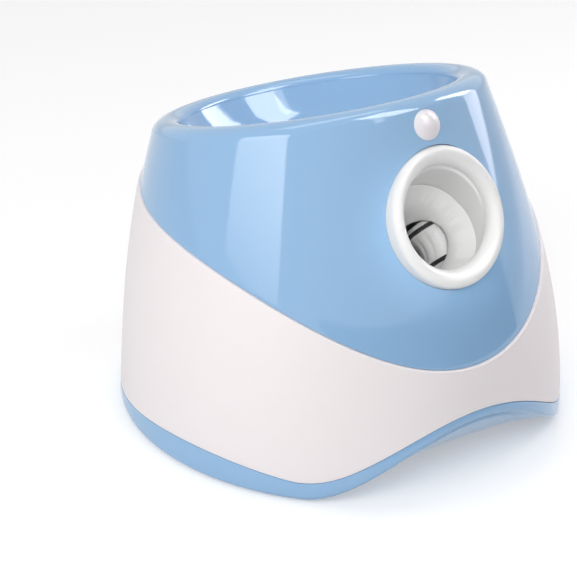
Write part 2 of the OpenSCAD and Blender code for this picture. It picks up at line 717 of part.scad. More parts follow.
module feed_paddle() {
    color(blue) translate([-paddle_width / 2, shaft_at[0], shaft_at[1]]) facing_x() difference() {
        union() {
            cylinder(r = shaft_r + 4, h = paddle_width);
            rotate(-launch_angle) for (s = [0, 180]) rotate(s) {
                translate([0, -3, 0]) cube([paddle_reach - 4, 6, paddle_width]);
                translate([paddle_reach - 4, 0, 0]) cylinder(r = 4, h = paddle_width, $fn = 48);
            }
        }
        translate([0, 0, -1]) cylinder(r = shaft_r, h = paddle_width + 2, $fn = 48);
    }
}
gear_side = 3;
gear_x = cheek_out + gear_side;
cover_in = gear_x + gear_w + gear_side;
gear_hub_wall = 3;
gear_hub_out = 2;
module paddle_shaft() {
    color(steel) translate([-cheek_out - 4, shaft_at[0], shaft_at[1]]) facing_x()
        cylinder(r = shaft_r, h = cheek_out + 4 + cover_in + 1.5, $fn = 48);
}
module paddle_bushes() {
    color("goldenrod") for (s = [0, 1]) mirror([s, 0, 0])
        translate([cheek_x, shaft_at[0], shaft_at[1]]) facing_x() difference() {
            union() {
                cylinder(r = bush_r, h = cheek_t, $fn = 48);
                translate([0, 0, -bush_flange_t])
                    cylinder(r = bush_r + bush_flange_w, h = bush_flange_t, $fn = 48);
            }
            translate([0, 0, -2]) cylinder(r = shaft_r + run_fit, h = cheek_t + 4, $fn = 48);
        }
}

// Involute teeth: half the tooth's angle at radius r
pressure = 20;
function inv(a) = tan(a) - a * PI / 180;
function half_tooth(teeth, r) =
    let (pitch = gear_module * teeth / 2, base = pitch * cos(pressure),
         play = 0.05 * gear_module / pitch)
    (PI / 2 / teeth - play + inv(pressure) - inv(acos(min(1, base / max(r, base))))) * 180 / PI;
module gear_outline(teeth) {
    pitch = gear_module * teeth / 2;
    root = pitch - 1.2 * gear_module;
    tip = pitch + 0.8 * gear_module;
    start = max(root, pitch * cos(pressure));
    radii = [for (k = [0:4]) start + (tip - start) * k / 4];
    polygon([for (i = [0:teeth - 1]) let (mid = 360 * i / teeth) each concat(
        [root * [cos(mid - half_tooth(teeth, root)), sin(mid - half_tooth(teeth, root))]],
        [for (r = radii) r * [cos(mid - half_tooth(teeth, r)), sin(mid - half_tooth(teeth, r))]],
        [for (r = reversed(radii)) r * [cos(mid + half_tooth(teeth, r)), sin(mid + half_tooth(teeth, r))]],
        [root * [cos(mid + half_tooth(teeth, root)), sin(mid + half_tooth(teeth, root))]])]);
}
gear_space = gear_module * (gear_teeth + pinion_teeth) / 2;
pinion_at = [shaft_at[0] + gear_space, shaft_at[1]];
feeder_axle_r = 1.2;

module feeder_gear() {
    color(white) translate([gear_x, shaft_at[0], shaft_at[1]]) facing_x() difference() {
        union() {
            linear_extrude(gear_w) gear_outline(gear_teeth);
            translate([0, 0, -gear_hub_out])
                cylinder(r = shaft_r + gear_hub_wall, h = gear_w + 2 * gear_hub_out, $fn = 48);
        }
        translate([0, 0, -3]) cylinder(r = shaft_r, h = gear_w + 6, $fn = 48);
    }
}
module feeder_pinion() {
    color("goldenrod") translate([gear_x - 0.5, pinion_at[0], pinion_at[1]]) facing_x() difference() {
        linear_extrude(gear_w + 1) rotate(180 + 180 / pinion_teeth) gear_outline(pinion_teeth);
        translate([0, 0, -1]) cylinder(r = feeder_axle_r, h = gear_w + 3, $fn = 32);
    }
}
cover_t = 2.2;
cover_room = 2;
pinion_room = 5;
ear_r = 4;
ear_t = 3;
ear_y = 12;
ear_out = 3;
axle_room = 0.3;
cover_gear_r = gear_module * gear_teeth / 2 + gear_module + cover_room;
cover_pinion_r = gear_module * pinion_teeth / 2 + gear_module + pinion_room;
module cover_shape(extra) {
    hull() {
        translate(shaft_at) circle(r = cover_gear_r + extra, $fn = 48);
        translate(pinion_at) circle(r = cover_pinion_r + extra, $fn = 48);
    }
}
// Ears of the gear cover, above and below
cover_ears = [for (s = [-1, 1]) [shaft_at[0] + ear_y, shaft_at[1] + s * (cover_gear_r + ear_out)]];
module cover_bolts() {
    facing_x() for (p = cover_ears) translate([p[0], p[1], 0]) children();
}
module gear_cover() {
    color(blue) difference() {
        union() {
            translate([cheek_out, 0, 0]) facing_x() linear_extrude(cover_in + cover_t - cheek_out)
                cover_shape(cover_t);
            cover_bolts() translate([0, 0, cheek_out]) cylinder(r = ear_r, h = ear_t, $fn = 32);
        }
        translate([cheek_out - 1, 0, 0]) facing_x() linear_extrude(cover_in - cheek_out + 1)
            cover_shape(0);
        facing_x() translate([shaft_at[0], shaft_at[1], cover_in - 1])
            cylinder(r = shaft_r + run_fit, h = cover_t + 2, $fn = 48);
        facing_x() translate([pinion_at[0], pinion_at[1], cover_in - 1])
            cylinder(r = feeder_axle_r + axle_room, h = cover_t + 2, $fn = 32);
        cover_bolts() translate([0, 0, cheek_out - 1]) cylinder(r = bolt_r, h = 6, $fn = 24);
    }
}
module feeder_axle() {
    color(steel) facing_x() translate([pinion_at[0], pinion_at[1], gear_x - 1])
        cylinder(r = feeder_axle_r, h = cover_in + cover_t + 8 - gear_x, $fn = 32);
}
module feeder_motor() {
    color(steel) facing_x() translate([pinion_at[0], pinion_at[1], cover_in + cover_t]) difference() {
        union() {
            cylinder(r = feeder_motor_r, h = feeder_motor_l);
            cylinder(r = 3.5, h = feeder_motor_l + 2.5, $fn = 32);
            for (s = [-1, 1]) translate([-0.3, s * 7 - 1.2, feeder_motor_l]) cube([0.6, 2.4, 4]);
        }
        translate([0, 0, -1]) cylinder(r = feeder_axle_r + run_fit, h = 9, $fn = 32);
    }
}

// ---- Sensor ---------------------------------------------------------------------------------------
dome_out = 4.6;
dome_ball_r = (dome_r * dome_r + dome_out * dome_out) / (2 * dome_out);
module sensor_dome() {
    color(white) in_dome() rotate_extrude() polygon(concat(
        [[0, -dome_deep + 1.5 + 4], [dome_r - 1.5, -dome_deep + 1.5 + 4], [dome_r - 1.5, -dome_deep],
         [dome_r, -dome_deep], [dome_r, 0]],
        [for (k = [1:12]) let (t = asin(dome_r / dome_ball_r) * (1 - k / 12))
            [dome_ball_r * sin(t), dome_ball_r * cos(t) - dome_ball_r + dome_out]]));
}
sensor_r = 4.5;
sensor_l = 3.5;
module sensor_board() {
    color(board_green) in_dome() {
        translate([0, 0, -dome_deep - sensor_board_t])
            cylinder(r = dome_r - sensor_side, h = sensor_board_t);
        translate([0, 0, -dome_deep - eps]) cylinder(r = sensor_r, h = sensor_l, $fn = 48);
    }
}

// ---- Rear panel -----------------------------------------------------------------------------------
panel_axis_y = body_y(panel_z);
panel_face_r = body_r(panel_z) + step_at(180, panel_z) + 1;
panel_step = 3;
flange_face_r = body_r(panel_z) - shell_wall - 1.6;
button_x = [-30, -4];
socket_x = 31;
light_x = [-8, 0, 8];
light_r = 1.5;
light_z = panel_z + 11;
range_z = panel_z - 3;

module panel_shape(extra) {
    span = (panel_w - panel_h) / 2;
    hull() for (s = [-1, 1]) translate([s * span, 0]) circle(r = panel_h / 2 + extra, $fn = 48);
}
// The panel's outline, pushed through the rear wall
module panel_block(extra, deep) {
    translate([0, panel_axis_y + body_r(panel_z) - deep, panel_z]) rotate([-90, 0, 0])
        linear_extrude(2 * deep) panel_shape(extra);
}
module round_wall(r_out, r_in) {
    translate([0, panel_axis_y, panel_z - panel_h]) difference() {
        cylinder(r = r_out, h = 2 * panel_h, $fn = 180);
        translate([0, 0, -1]) cylinder(r = r_in, h = 2 * panel_h + 2, $fn = 180);
    }
}
// A cylinder through the panel at x, z, along Y
module panel_hole(x, z, r) {
    translate([x, panel_axis_y + panel_face_r - 30, z]) facing_y() cylinder(r = r, h = 60, $fn = 48);
}
// How far the panel's outer and inner face lie towards the back at x
function panel_face_y(x) = panel_axis_y + sqrt(pow(panel_face_r, 2) - x * x);
function panel_back_y(x) = panel_axis_y + sqrt(pow(flange_face_r - panel_step, 2) - x * x);

module control_panel() {
    color(blue) difference() {
        union() {
            intersection() {
                panel_block(0, 30);
                round_wall(panel_face_r, flange_face_r - panel_step);
            }
            intersection() {
                panel_block(4, 30);
                round_wall(flange_face_r, flange_face_r - panel_step);
            }
        }
        panel_hole(button_x[0], panel_z, power_r + slide_fit);
        panel_hole(button_x[1], range_z, range_r + slide_fit);
        panel_hole(socket_x, panel_z, socket_r);
        for (x = light_x) panel_hole(x + button_x[1], light_z, light_r);
    }
}

button_out = 2.6;
button_flange = 1.6;
button_flange_t = 1.2;
function button_back_y(x, r) = panel_back_y(abs(x) + r + button_flange) - button_flange_t - 0.2;
// A push button: its crown stands out of the panel, its flange keeps it in
module push_button(x, z, r) {
    front = panel_face_y(abs(x) + r) + button_out;
    back = button_back_y(x, r);
    translate([x, back, z]) facing_y() rotate_extrude($fn = 64) polygon([
        [0, 0], [r + button_flange, 0], [r + button_flange, button_flange_t], [r, button_flange_t],
        [r, front - back - 1.2], [r - 0.4, front - back - 0.5], [r - 1.4, front - back],
        [r * 0.5, front - back - 0.5], [0, front - back - 0.7]]);
}
module power_button() { color(white) push_button(button_x[0], panel_z, power_r); }
module range_button() { color(white) push_button(button_x[1], range_z, range_r); }

module status_lights() {
    color([0.75, 0.95, 0.75]) for (x = light_x) let (at = x + button_x[1]) {
        deep = panel_face_y(at) - board_y - board_t;
        translate([at, board_y + board_t, light_z]) facing_y()
            cylinder(r = light_r, h = deep + 0.3, $fn = 32);
    }
}

board_t = 1.6;
board_back = 12;
board_y = panel_axis_y + flange_face_r - panel_step - board_back;
board_w = 84;
board_h = 30;
pillar_r = 2.2;
pillar_x = 14;
pillar_drop = 11;
relay = [16, 9, 16];
relay_at = [-12, 0];
chip = [12, 5, 12];
chip_at = [18, 0];
can_r = 2.5;
can_l = 8;
can_x = [30, 36];
can_up = 6;
switch_w = 6;
switch_gap = 0.1;
// A part on the front face of the board, by its size and its place
module on_board(size, at) {
    translate([at[0] - size[0] / 2, board_y - size[1], panel_z + at[1] - size[2] / 2]) cube(size);
}
// A push switch behind a button: its top is just out of reach of the pressed button
module push_switch(x, z, r) {
    translate([x - switch_w / 2, board_y + board_t, z - switch_w / 2])
        cube([switch_w, button_back_y(x, r) - button_travel - switch_gap - board_y - board_t, switch_w]);
}
module control_board() {
    color(board_green) {
        translate([-board_w / 2, board_y, panel_z - board_h / 2]) cube([board_w, board_t, board_h]);
        on_board(relay, relay_at);
        on_board(chip, chip_at);
        for (x = can_x) translate([x, board_y, panel_z + can_up]) rotate([90, 0, 0])
            cylinder(r = can_r, h = can_l, $fn = 32);
        push_switch(button_x[0], panel_z, power_r);
        push_switch(button_x[1], range_z, range_r);
        // pillars that hold the board to the panel
        for (s = [-1, 1]) translate([s * pillar_x, board_y + board_t, panel_z - pillar_drop]) facing_y()
            cylinder(r = pillar_r, h = panel_back_y(pillar_x) - board_y - board_t, $fn = 32);
    }
}

socket_r = plug_r + 2.4;
socket_deep = 9;
module dc_socket() {
    front = panel_face_y(socket_x + socket_r) - 0.2;
    color([0.15, 0.15, 0.16]) {
        difference() {
            translate([socket_x, board_y + board_t, panel_z]) facing_y()
                cylinder(r = socket_r, h = front - board_y - board_t, $fn = 48);
            translate([socket_x, front - socket_deep, panel_z]) facing_y()
                cylinder(r = plug_r, h = socket_deep + 1, $fn = 48);
        }
        translate([socket_x, front - socket_deep - eps, panel_z]) facing_y()
            cylinder(r = 1, h = socket_deep - 1, $fn = 32);
    }
}

// ---- Batteries ------------------------------------------------------------------------------------
module battery_box() {
    color([0.25, 0.25, 0.27]) translate([0, box_y, floor_z]) difference() {
        translate([-box_in_x - box_wall, 0, 0])
            cube([2 * (box_in_x + box_wall), box_in_y + 2 * box_wall, box_in_z + box_wall]);
        translate([-box_in_x, box_wall, -1]) cube([2 * box_in_x, box_in_y, box_in_z + 1]);
    }
}
cell_half_gap = 0.8;
cell_tip_r = 3.2;
cell_tip_l = 2;
cell_pitch = 2 * cell_r + 2 * cell_room;
cell_z = floor_z + box_in_z - cell_r - cell_room;
module battery_cells() {
    color([0.80, 0.62, 0.30]) for (row = [-1:1]) for (s = [0, 1]) mirror([s, 0, 0])
        translate([cell_half_gap, box_mid_y + row * cell_pitch, cell_z]) facing_x() {
            cylinder(r = cell_r, h = cell_l - cell_tip_l, $fn = 64);
            cylinder(r = cell_tip_r, h = cell_l, $fn = 48);
        }
}
contact_w = 16;
contact_t = 0.6;
contact_spring_r = 4;
module battery_contacts() {
    spring_l = box_in_x - cell_half_gap - cell_l;
    color(steel) for (row = [-1:1]) for (s = [0, 1]) mirror([s, 0, 0])
        translate([box_in_x - contact_t, box_mid_y + row * cell_pitch, cell_z]) facing_x() {
            translate([-contact_w / 2, -contact_w / 2, 0]) cube([contact_w, contact_w, contact_t]);
            translate([0, 0, contact_t - spring_l])
                cylinder(r = contact_spring_r, h = spring_l - contact_t, $fn = 32);
        }
}
cover_side = 1 + slide_fit;
cover_under = 0.4;
hook_w = 16;
hook_t = 2;
hook_in = 1;
hook_rise = 2.4;
dish_r = 15.2;
dish_deep = 1.2;
dish_in = 12;
module battery_cover() {
    half_x = box_in_x - cover_side;
    long_y = box_in_y - 2 * cover_side;
    color(blue) translate([0, box_y + box_wall + cover_side, tray_z]) difference() {
        union() {
            translate([-half_x, 0, 0]) cube([2 * half_x, long_y, floor_t - cover_under]);
            for (s = [-1, 1]) translate([(s * half_x - hook_w) / 2, long_y - hook_in - hook_t, 0])
                cube([hook_w, hook_t, floor_t + hook_rise]);
        }
        // a dished place for the finger
        translate([0, long_y - dish_in, dish_deep - dish_r]) sphere(r = dish_r, $fn = 64);
    }
}

in_frame() upper_shell();
in_frame() lower_shell();
in_frame() base_tray();
in_frame() rubber_feet();
in_frame() hopper_bowl();
in_frame() drop_chute();
in_frame() muzzle_bezel();
in_frame() barrel();
in_frame() feed_cradle();
in_frame() wheel_left();
in_frame() wheel_right();
in_frame() grips_left();
in_frame() grips_right();
in_frame() axle_left();
in_frame() axle_right();
in_frame() motor_left();
in_frame() motor_right();
in_frame() motor_screws();
in_frame() feed_paddle();
in_frame() paddle_shaft();
in_frame() paddle_bushes();
in_frame() feeder_gear();
in_frame() feeder_pinion();
in_frame() feeder_axle();
in_frame() gear_cover();
in_frame() feeder_motor();
in_frame() sensor_dome();
in_frame() sensor_board();
in_frame() control_panel();
in_frame() power_button();
in_frame() range_button();
in_frame() status_lights();
in_frame() dc_socket();
in_frame() control_board();
in_frame() battery_box();
in_frame() battery_cells();
in_frame() battery_contacts();
in_frame() battery_cover();
in_frame() shell_screws();
in_frame() cradle_screws();
in_frame() chute_screws();
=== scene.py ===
"""Finished look of a round ball launcher: casings, bowl, muzzle, wheels and what lies inside."""
import json
import logging
import math
from dataclasses import dataclass, field
from enum import Enum
from functools import lru_cache
from typing import Callable, Iterable, Optional, Sequence

import bmesh
import bpy
from mathutils import Matrix, Vector


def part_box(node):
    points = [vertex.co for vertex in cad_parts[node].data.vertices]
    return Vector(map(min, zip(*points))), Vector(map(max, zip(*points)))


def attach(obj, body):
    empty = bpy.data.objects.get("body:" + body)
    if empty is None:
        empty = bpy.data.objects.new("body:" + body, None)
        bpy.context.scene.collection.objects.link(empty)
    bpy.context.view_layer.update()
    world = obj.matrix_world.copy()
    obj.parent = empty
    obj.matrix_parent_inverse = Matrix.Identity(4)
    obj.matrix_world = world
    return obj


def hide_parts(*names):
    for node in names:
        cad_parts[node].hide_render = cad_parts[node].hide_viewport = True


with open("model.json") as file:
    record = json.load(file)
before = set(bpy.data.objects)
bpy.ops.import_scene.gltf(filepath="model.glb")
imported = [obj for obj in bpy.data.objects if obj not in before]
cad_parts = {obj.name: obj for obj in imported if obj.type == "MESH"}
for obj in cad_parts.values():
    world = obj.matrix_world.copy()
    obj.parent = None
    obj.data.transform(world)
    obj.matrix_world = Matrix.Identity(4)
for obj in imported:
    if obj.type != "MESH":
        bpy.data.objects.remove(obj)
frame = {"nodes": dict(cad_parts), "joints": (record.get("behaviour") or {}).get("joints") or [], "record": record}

LOG = logging.getLogger("launcher")
MM = 0.001
MICRON = 0.000001
# How far the round base's centre lies in front of the frame's origin
FORWARD = 4.7 * MM

Colour = tuple[float, float, float]
Row = Callable[[float], Vector]
Profile = Sequence[tuple[float, float]]
Form = bmesh.types.BMesh
Thing = bpy.types.Object
Node = bpy.types.Node
Socket = bpy.types.NodeSocket
Tree = bpy.types.NodeTree
Lamp = bpy.types.Light


class Slot(Enum):
    """The record's material slots."""

    BLUE = "blue_gloss"
    WHITE = "white_satin"
    BEZEL = "bezel_white"
    FRAME = "frame_white"
    WHEEL = "wheel_white"
    GRIP = "rubber_black"
    FOOT = "foot_rubber"
    STEEL = "steel"
    CAN = "motor_can"
    BRASS = "brass"
    BOARD = "circuit_board"
    DOME = "dome_milky"
    LENS = "light_lens"
    BLACK = "black_plastic"
    DARK = "dark_plastic"
    CELL = "cell_wrap"
    PADDLE = "paddle_blue"


# ---- Benches that place shader nodes ----


class NodeBench:
    """Adds and links nodes in one node tree."""

    def __init__(self, tree: Tree) -> None:
        """Works on that tree, from which older nodes are cleared.

        Args:
            tree: the node tree of a material, a lamp, the world or a group.
        """
        self.tree = tree
        self.where: Optional[Socket] = None
        tree.nodes.clear()

    def feed(self, source: object, into: Socket) -> None:
        """Links an output socket to an input, or sets the input to a plain value.

        Args:
            source: the output socket or the value.
            into: the input socket.
        """
        if isinstance(source, Socket):
            self.tree.links.new(source, into)
        else:
            into.default_value = source

    def add(self, kind: str, **values: object) -> Node:
        """Adds a node and sets its properties and inputs.

        Args:
            kind: the node's type, such as Math, without the words ShaderNode before it.
            values: properties by name, or inputs by name with spaces as underscores.

        Returns:
            The new node.
        """
        node = self.tree.nodes.new("ShaderNode" + kind)
        for name, value in values.items():
            if hasattr(node, name):
                setattr(node, name, value)
            else:
                self.feed(value, node.inputs[name.replace("_", " ")])
        return node

    def math(self, operation: str, *terms: object) -> Socket:
        """Adds a Math node.

        Args:
            operation: the operation, such as MULTIPLY.
            terms: numbers or output sockets.

        Returns:
            The node's result.
        """
        node = self.add("Math", operation=operation)
        for socket, term in zip(node.inputs, terms):
            self.feed(term, socket)
        return node.outputs[0]

    def times(self, *factors: object) -> Socket:
        """Multiplies numbers and output sockets, from left to right.

        Args:
            factors: at least one output socket and one number or socket more.

        Returns:
            The product.
        """
        product = factors[0]
        for factor in factors[1:]:
            product = self.math("MULTIPLY", product, factor)
        return product

    def spread(self, value: Socket, low: float, high: float, to_low: float = 0.0,
               to_high: float = 1.0) -> Socket:
        """Maps a value from one range to another, clamped.

        Args:
            value: the value to map.
            low: start of the range read.
            high: end of the range read.
            to_low: result at the start.
            to_high: result at the end.

        Returns:
            The mapped value.
        """
        node = self.add("MapRange", Value=value, From_Min=low, From_Max=high, To_Min=to_low,
                        To_Max=to_high)
        return node.outputs["Result"]

    def noise(self, scale: object, detail: float = 2.0, roughness: float = 0.5) -> Socket:
        """Adds a noise texture at the bench's own coordinates.

        Args:
            scale: a number or an output socket.
            detail: how many finer layers.
            roughness: how strong the finer layers are.

        Returns:
            The noise's value, from 0 to 1.
        """
        node = self.add("TexNoise", Vector=self.where, Scale=scale, Detail=detail,
                        Roughness=roughness)
        return node.outputs["Fac"]

    def blend(self, share: object, first: object, second: object) -> Socket:
        """Mixes two colours.

        Args:
            share: how much of the second, a number or a socket.
            first: a colour or a socket.
            second: a colour or a socket.

        Returns:
            The mixed colour.
        """
        node = self.add("Mix", data_type="RGBA")
        sockets = {socket.identifier: socket for socket in (*node.inputs, *node.outputs)}
        for name, term in (("Factor_Float", share), ("A_Color", first), ("B_Color", second)):
            self.feed(term, sockets[name])
        return sockets["Result_Color"]

    def axis(self, vector: Socket, index: int) -> Socket:
        """One component of a vector: 0 is X, 1 is Y and 2 is Z."""
        return self.add("SeparateXYZ", Vector=vector).outputs[index]

    def shown(self) -> Socket:
        """Tells what is looked at from what only lights the object.

        Returns:
            1 for camera rays, reflections and what clear plastic shows, otherwise 0.
        """
        rays = self.add("LightPath").outputs
        seen = self.math("MAXIMUM", rays["Is Camera Ray"], rays["Is Glossy Ray"])
        return self.math("MAXIMUM", seen, rays["Is Transmission Ray"])


class SurfaceBench(NodeBench):
    """A bench for a new material, whose patterns read Object coordinates."""

    def __init__(self, name: str) -> None:
        """Starts the material.

        Args:
            name: the material's name.
        """
        self.material = bpy.data.materials.new(name)
        self.material.use_nodes = True
        super().__init__(self.material.node_tree)
        self.where = self.add("TexCoord").outputs["Object"]

    def effect(self, group: Tree, **values: object) -> Socket:
        """Places a shared effect, with its own values by input name."""
        return self.add("Group", node_tree=group, Where=self.where, **values).outputs[0]

    def surface(self, shader: Node) -> bpy.types.Material:
        """Ends the material in that shader, and returns it."""
        self.add("OutputMaterial", Surface=shader.outputs[0])
        return self.material


class GroupBench(NodeBench):
    """A bench for a shared effect: a node group with named inputs and one output."""

    def __init__(self, name: str, **inputs: object) -> None:
        """Starts the group.

        Args:
            name: the group's name.
            inputs: default value of each input after Where; a tuple is a colour.
        """
        super().__init__(bpy.data.node_groups.new(name, "ShaderNodeTree"))
        self._socket("Where", "INPUT", "Vector")
        for label, value in inputs.items():
            kind = "Color" if isinstance(value, tuple) else "Float"
            self._socket(label, "INPUT", kind).default_value = value
        self.given = self.tree.nodes.new("NodeGroupInput").outputs
        self.where = self.given["Where"]

    def _socket(self, label: str, side: str, kind: str) -> bpy.types.NodeTreeInterfaceSocket:
        """Adds a socket of that kind to the group's INPUT or OUTPUT side."""
        return self.tree.interface.new_socket(label, in_out=side, socket_type="NodeSocket" + kind)

    def closed(self, label: str, result: Socket) -> Tree:
        """Ends the group in one output.

        Args:
            label: the output's name.
            result: the colour or number that it puts out.

        Returns:
            The group.
        """
        self._socket(label, "OUTPUT", "Color" if result.type == "RGBA" else "Float")
        self.feed(result, self.tree.nodes.new("NodeGroupOutput").inputs[0])
        return self.tree


# ---- Effects that several finishes share ----


class Effect:
    """Shared surface effects, each a shader node group built once."""

    @staticmethod
    @lru_cache(maxsize=None)
    def drift() -> Tree:
        """Colour that drifts slightly over a moulding.

        Returns:
            The group, with a Color output.
        """
        white = (1.0, 1.0, 1.0, 1.0)
        b = GroupBench("colour_drift", Color=white, Tint=white, Scale=9.0, Amount=0.2)
        wide = b.noise(b.given["Scale"], 3)
        fine = b.noise(b.times(b.given["Scale"], 23.0), 2)
        both = b.math("ADD", b.times(wide, 0.75), b.times(fine, 0.25))
        share = b.times(b.spread(both, 0.36, 0.64), b.given["Amount"])
        return b.closed("Color", b.blend(share, b.given["Color"], b.given["Tint"]))

    @staticmethod
    @lru_cache(maxsize=None)
    def grain() -> Tree:
        """Fine grain of a moulded or cast surface, as a height.

        Returns:
            The group, with a Height output.
        """
        b = GroupBench("moulded_grain", Scale=900.0, Ripple=0.3)
        fine = b.noise(b.given["Scale"], 2, 0.6)
        wave = b.noise(b.times(b.given["Scale"], 0.02), 1)
        return b.closed("Height", b.math("ADD", fine, b.times(wave, b.given["Ripple"], 6.0)))

    @staticmethod
    @lru_cache(maxsize=None)
    def wear_and_highlight() -> Tree:
        """Mask of a painted highlight along sharp edges, which also stands for rubbed wear, broken up by noise.

        Returns:
            The group, with a Mask output.
        """
        b = GroupBench("edge_wear", Amount=0.5, Scale=120.0)
        # Painted highlight: convex edges, found by pointiness, are marked to be lightened.
        edge = b.spread(b.add("NewGeometry").outputs["Pointiness"], 0.51, 0.58)
        patches = b.spread(b.noise(b.given["Scale"], 4), 0.4, 0.65)
        return b.closed("Mask", b.times(edge, patches, b.given["Amount"]))

    @staticmethod
    @lru_cache(maxsize=None)
    def dust() -> Tree:
        """Mask of thin dust that settles on what faces up.

        Returns:
            The group, with a Mask output.
        """
        b = GroupBench("settled_dust", Amount=0.2, Scale=60.0)
        up = b.spread(b.axis(b.add("NewGeometry").outputs["Normal"], 2), 0.2, 1.0)
        cloud = b.spread(b.noise(b.given["Scale"], 5), 0.35, 0.8)
        return b.closed("Mask", b.times(up, cloud, b.given["Amount"]))

    @staticmethod
    @lru_cache(maxsize=None)
    def smudge() -> Tree:
        """Roughness that varies a little, as on a handled gloss surface.

        Returns:
            The group, with a Roughness output.
        """
        b = GroupBench("handled_gloss", Roughness=0.1, Spread=0.05, Scale=30.0)
        cloud = b.spread(b.noise(b.given["Scale"], 4), 0.4, 0.7)
        extra = b.times(cloud, b.given["Spread"])
        return b.closed("Roughness", b.math("ADD", b.given["Roughness"], extra))


# ---- Finishes ----


@dataclass(frozen=True)
class Finish:
    """A moulded plastic finish, and the base of the others. Its grain's height is in microns."""

    slot: Slot
    colour: Colour
    tint: Colour
    drift: float = 0.25
    drift_scale: float = 9.0
    roughness: float = 0.4
    roughness_spread: float = 0.06
    grain_scale: float = 900.0
    grain: float = 20
    ripple: float = 0.2
    # Strength of the painted edge highlight, which also stands for rubbed wear.
    wear_and_highlight: float = 0.3
    dust: float = 0.05
    metallic: float = 0.0
    coat: float = 0.0
    coat_roughness: float = 0.05
    specular: float = 0.5
    dust_colour: Colour = (0.72, 0.70, 0.67)

    def made(self) -> bpy.types.Material:
        """The material, named after its slot and built at the first call."""
        return bpy.data.materials.get(self.slot.value + "_finish") or self._build()

    def _build(self) -> bpy.types.Material:
        """Builds the material's nodes.

        Returns:
            The new material.
        """
        b = SurfaceBench(self.slot.value + "_finish")
        b.material.diffuse_color = (*self.colour, 1)
        gloss = b.effect(Effect.smudge(), Roughness=self.roughness, Spread=self.roughness_spread)
        shader = b.add("BsdfPrincipled", Base_Color=self._worn_highlit_and_dusted(b, self.pattern(b)),
                       Roughness=gloss, Normal=self._bump(b), Metallic=self.metallic,
                       Coat_Weight=self.coat, Coat_Roughness=self.coat_roughness,
                       Specular_IOR_Level=self.specular, **self.extras())
        return b.surface(shader)

    def pattern(self, b: SurfaceBench) -> Socket:
        """Colour of the finish before wear."""
        return b.effect(Effect.drift(), Color=(*self.colour, 1), Tint=(*self.tint, 1),
                        Scale=self.drift_scale, Amount=self.drift)

    def _worn_highlit_and_dusted(self, b: SurfaceBench, colour: Socket) -> Socket:
        """Lightens sharp edges with a painted highlight that also stands for rubbed wear, and adds dust.

        Args:
            b: the material's bench.
            colour: the colour so far.

        Returns:
            The new colour.
        """
        # Painted highlight: sharp edges are mixed towards a paler colour, which also stands for rubbed wear.
        pale = tuple(min(1.0, c * 0.6 + 0.38) for c in self.colour)
        colour = b.blend(b.effect(Effect.wear_and_highlight(), Amount=self.wear_and_highlight), colour, (*pale, 1))
        return b.blend(b.effect(Effect.dust(), Amount=self.dust), colour, (*self.dust_colour, 1))

    def _bump(self, b: SurfaceBench) -> Socket:
        """Makes the grain, and what the finish adds to it, a normal.

        Args:
            b: the material's bench.

        Returns:
            The normal.
        """
        grain = b.effect(Effect.grain(), Scale=self.grain_scale, Ripple=self.ripple)
        return b.add("Bump", Strength=1.0, Distance=self.grain * MICRON,
                     Height=self.relief(b, grain)).outputs["Normal"]

    def relief(self, b: SurfaceBench, grain: Socket) -> Socket:
        """Height of the surface, with what a finish adds to its grain."""
        return grain

    def extras(self) -> dict[str, float]:
        """Shader values that only one finish has, by input name."""
        return {}


@dataclass(frozen=True)
class MilkyFinish(Finish):
    """Translucent milky plastic with the faint facets of a sensor lens."""

    facet_scale: float = 260.0
    groove: float = 0.12
    facet_height: float = 2.0
    glow_share: float = 0.25
    glow_depth: float = 3 * MM

    def relief(self, b: SurfaceBench, grain: Socket) -> Socket:
        """Adds the lens's small cells to the grain.

        Args:
            b: the material's bench.
            grain: height of the grain.

        Returns:
            The new height.
        """
        cells = b.add("TexVoronoi", feature="DISTANCE_TO_EDGE", Scale=self.facet_scale,
                      Vector=b.where)
        facets = b.spread(cells.outputs["Distance"], 0.0, self.groove, 0.0, self.facet_height)
        return b.math("ADD", grain, facets)

    def extras(self) -> dict[str, float]:
        """Lets a little light into the plastic."""
        return {"Subsurface_Weight": self.glow_share, "Subsurface_Scale": self.glow_depth}


@dataclass(frozen=True)
class BoardFinish(Finish):
    """Circuit board: solder resist over copper tracks, with tinned pads."""

    pad_scale: float = 340.0
    track_colour: Colour = (0.16, 0.46, 0.28)
    pad_colour: Colour = (0.72, 0.70, 0.62)

    def pattern(self, b: SurfaceBench) -> Socket:
        """Draws tracks under the resist and pads on it.

        Args:
            b: the material's bench.

        Returns:
            The board's colour.
        """
        blocks = b.add("TexVoronoi", distance="MANHATTAN", feature="F1", Vector=b.where,
                       Scale=self.pad_scale * 0.5)
        lines = b.math("PINGPONG", b.times(blocks.outputs["Distance"], 6.0), 0.5)
        dots = b.add("TexVoronoi", feature="F1", Vector=b.where, Scale=self.pad_scale)
        board = b.blend(b.spread(lines, 0.30, 0.34), super().pattern(b), (*self.track_colour, 1))
        return b.blend(b.spread(dots.outputs["Distance"], 0.16, 0.12), board,
                       (*self.pad_colour, 1))


@dataclass(frozen=True)
class TurnedFinish(Finish):
    """Metal with fine rings from the lathe or the drawing die."""

    ring_scale: float = 780.0
    ring_height: float = 1.5

    def relief(self, b: SurfaceBench, grain: Socket) -> Socket:
        """Adds fine parallel lines to the grain.

        Args:
            b: the material's bench.
            grain: height of the grain.

        Returns:
            The new height.
        """
        rings = b.add("TexWave", wave_type="BANDS", bands_direction="DIAGONAL", Distortion=1.5,
                      Scale=self.ring_scale, Detail=2.0, Vector=b.where)
        return b.math("ADD", grain, b.times(rings.outputs["Fac"], self.ring_height))


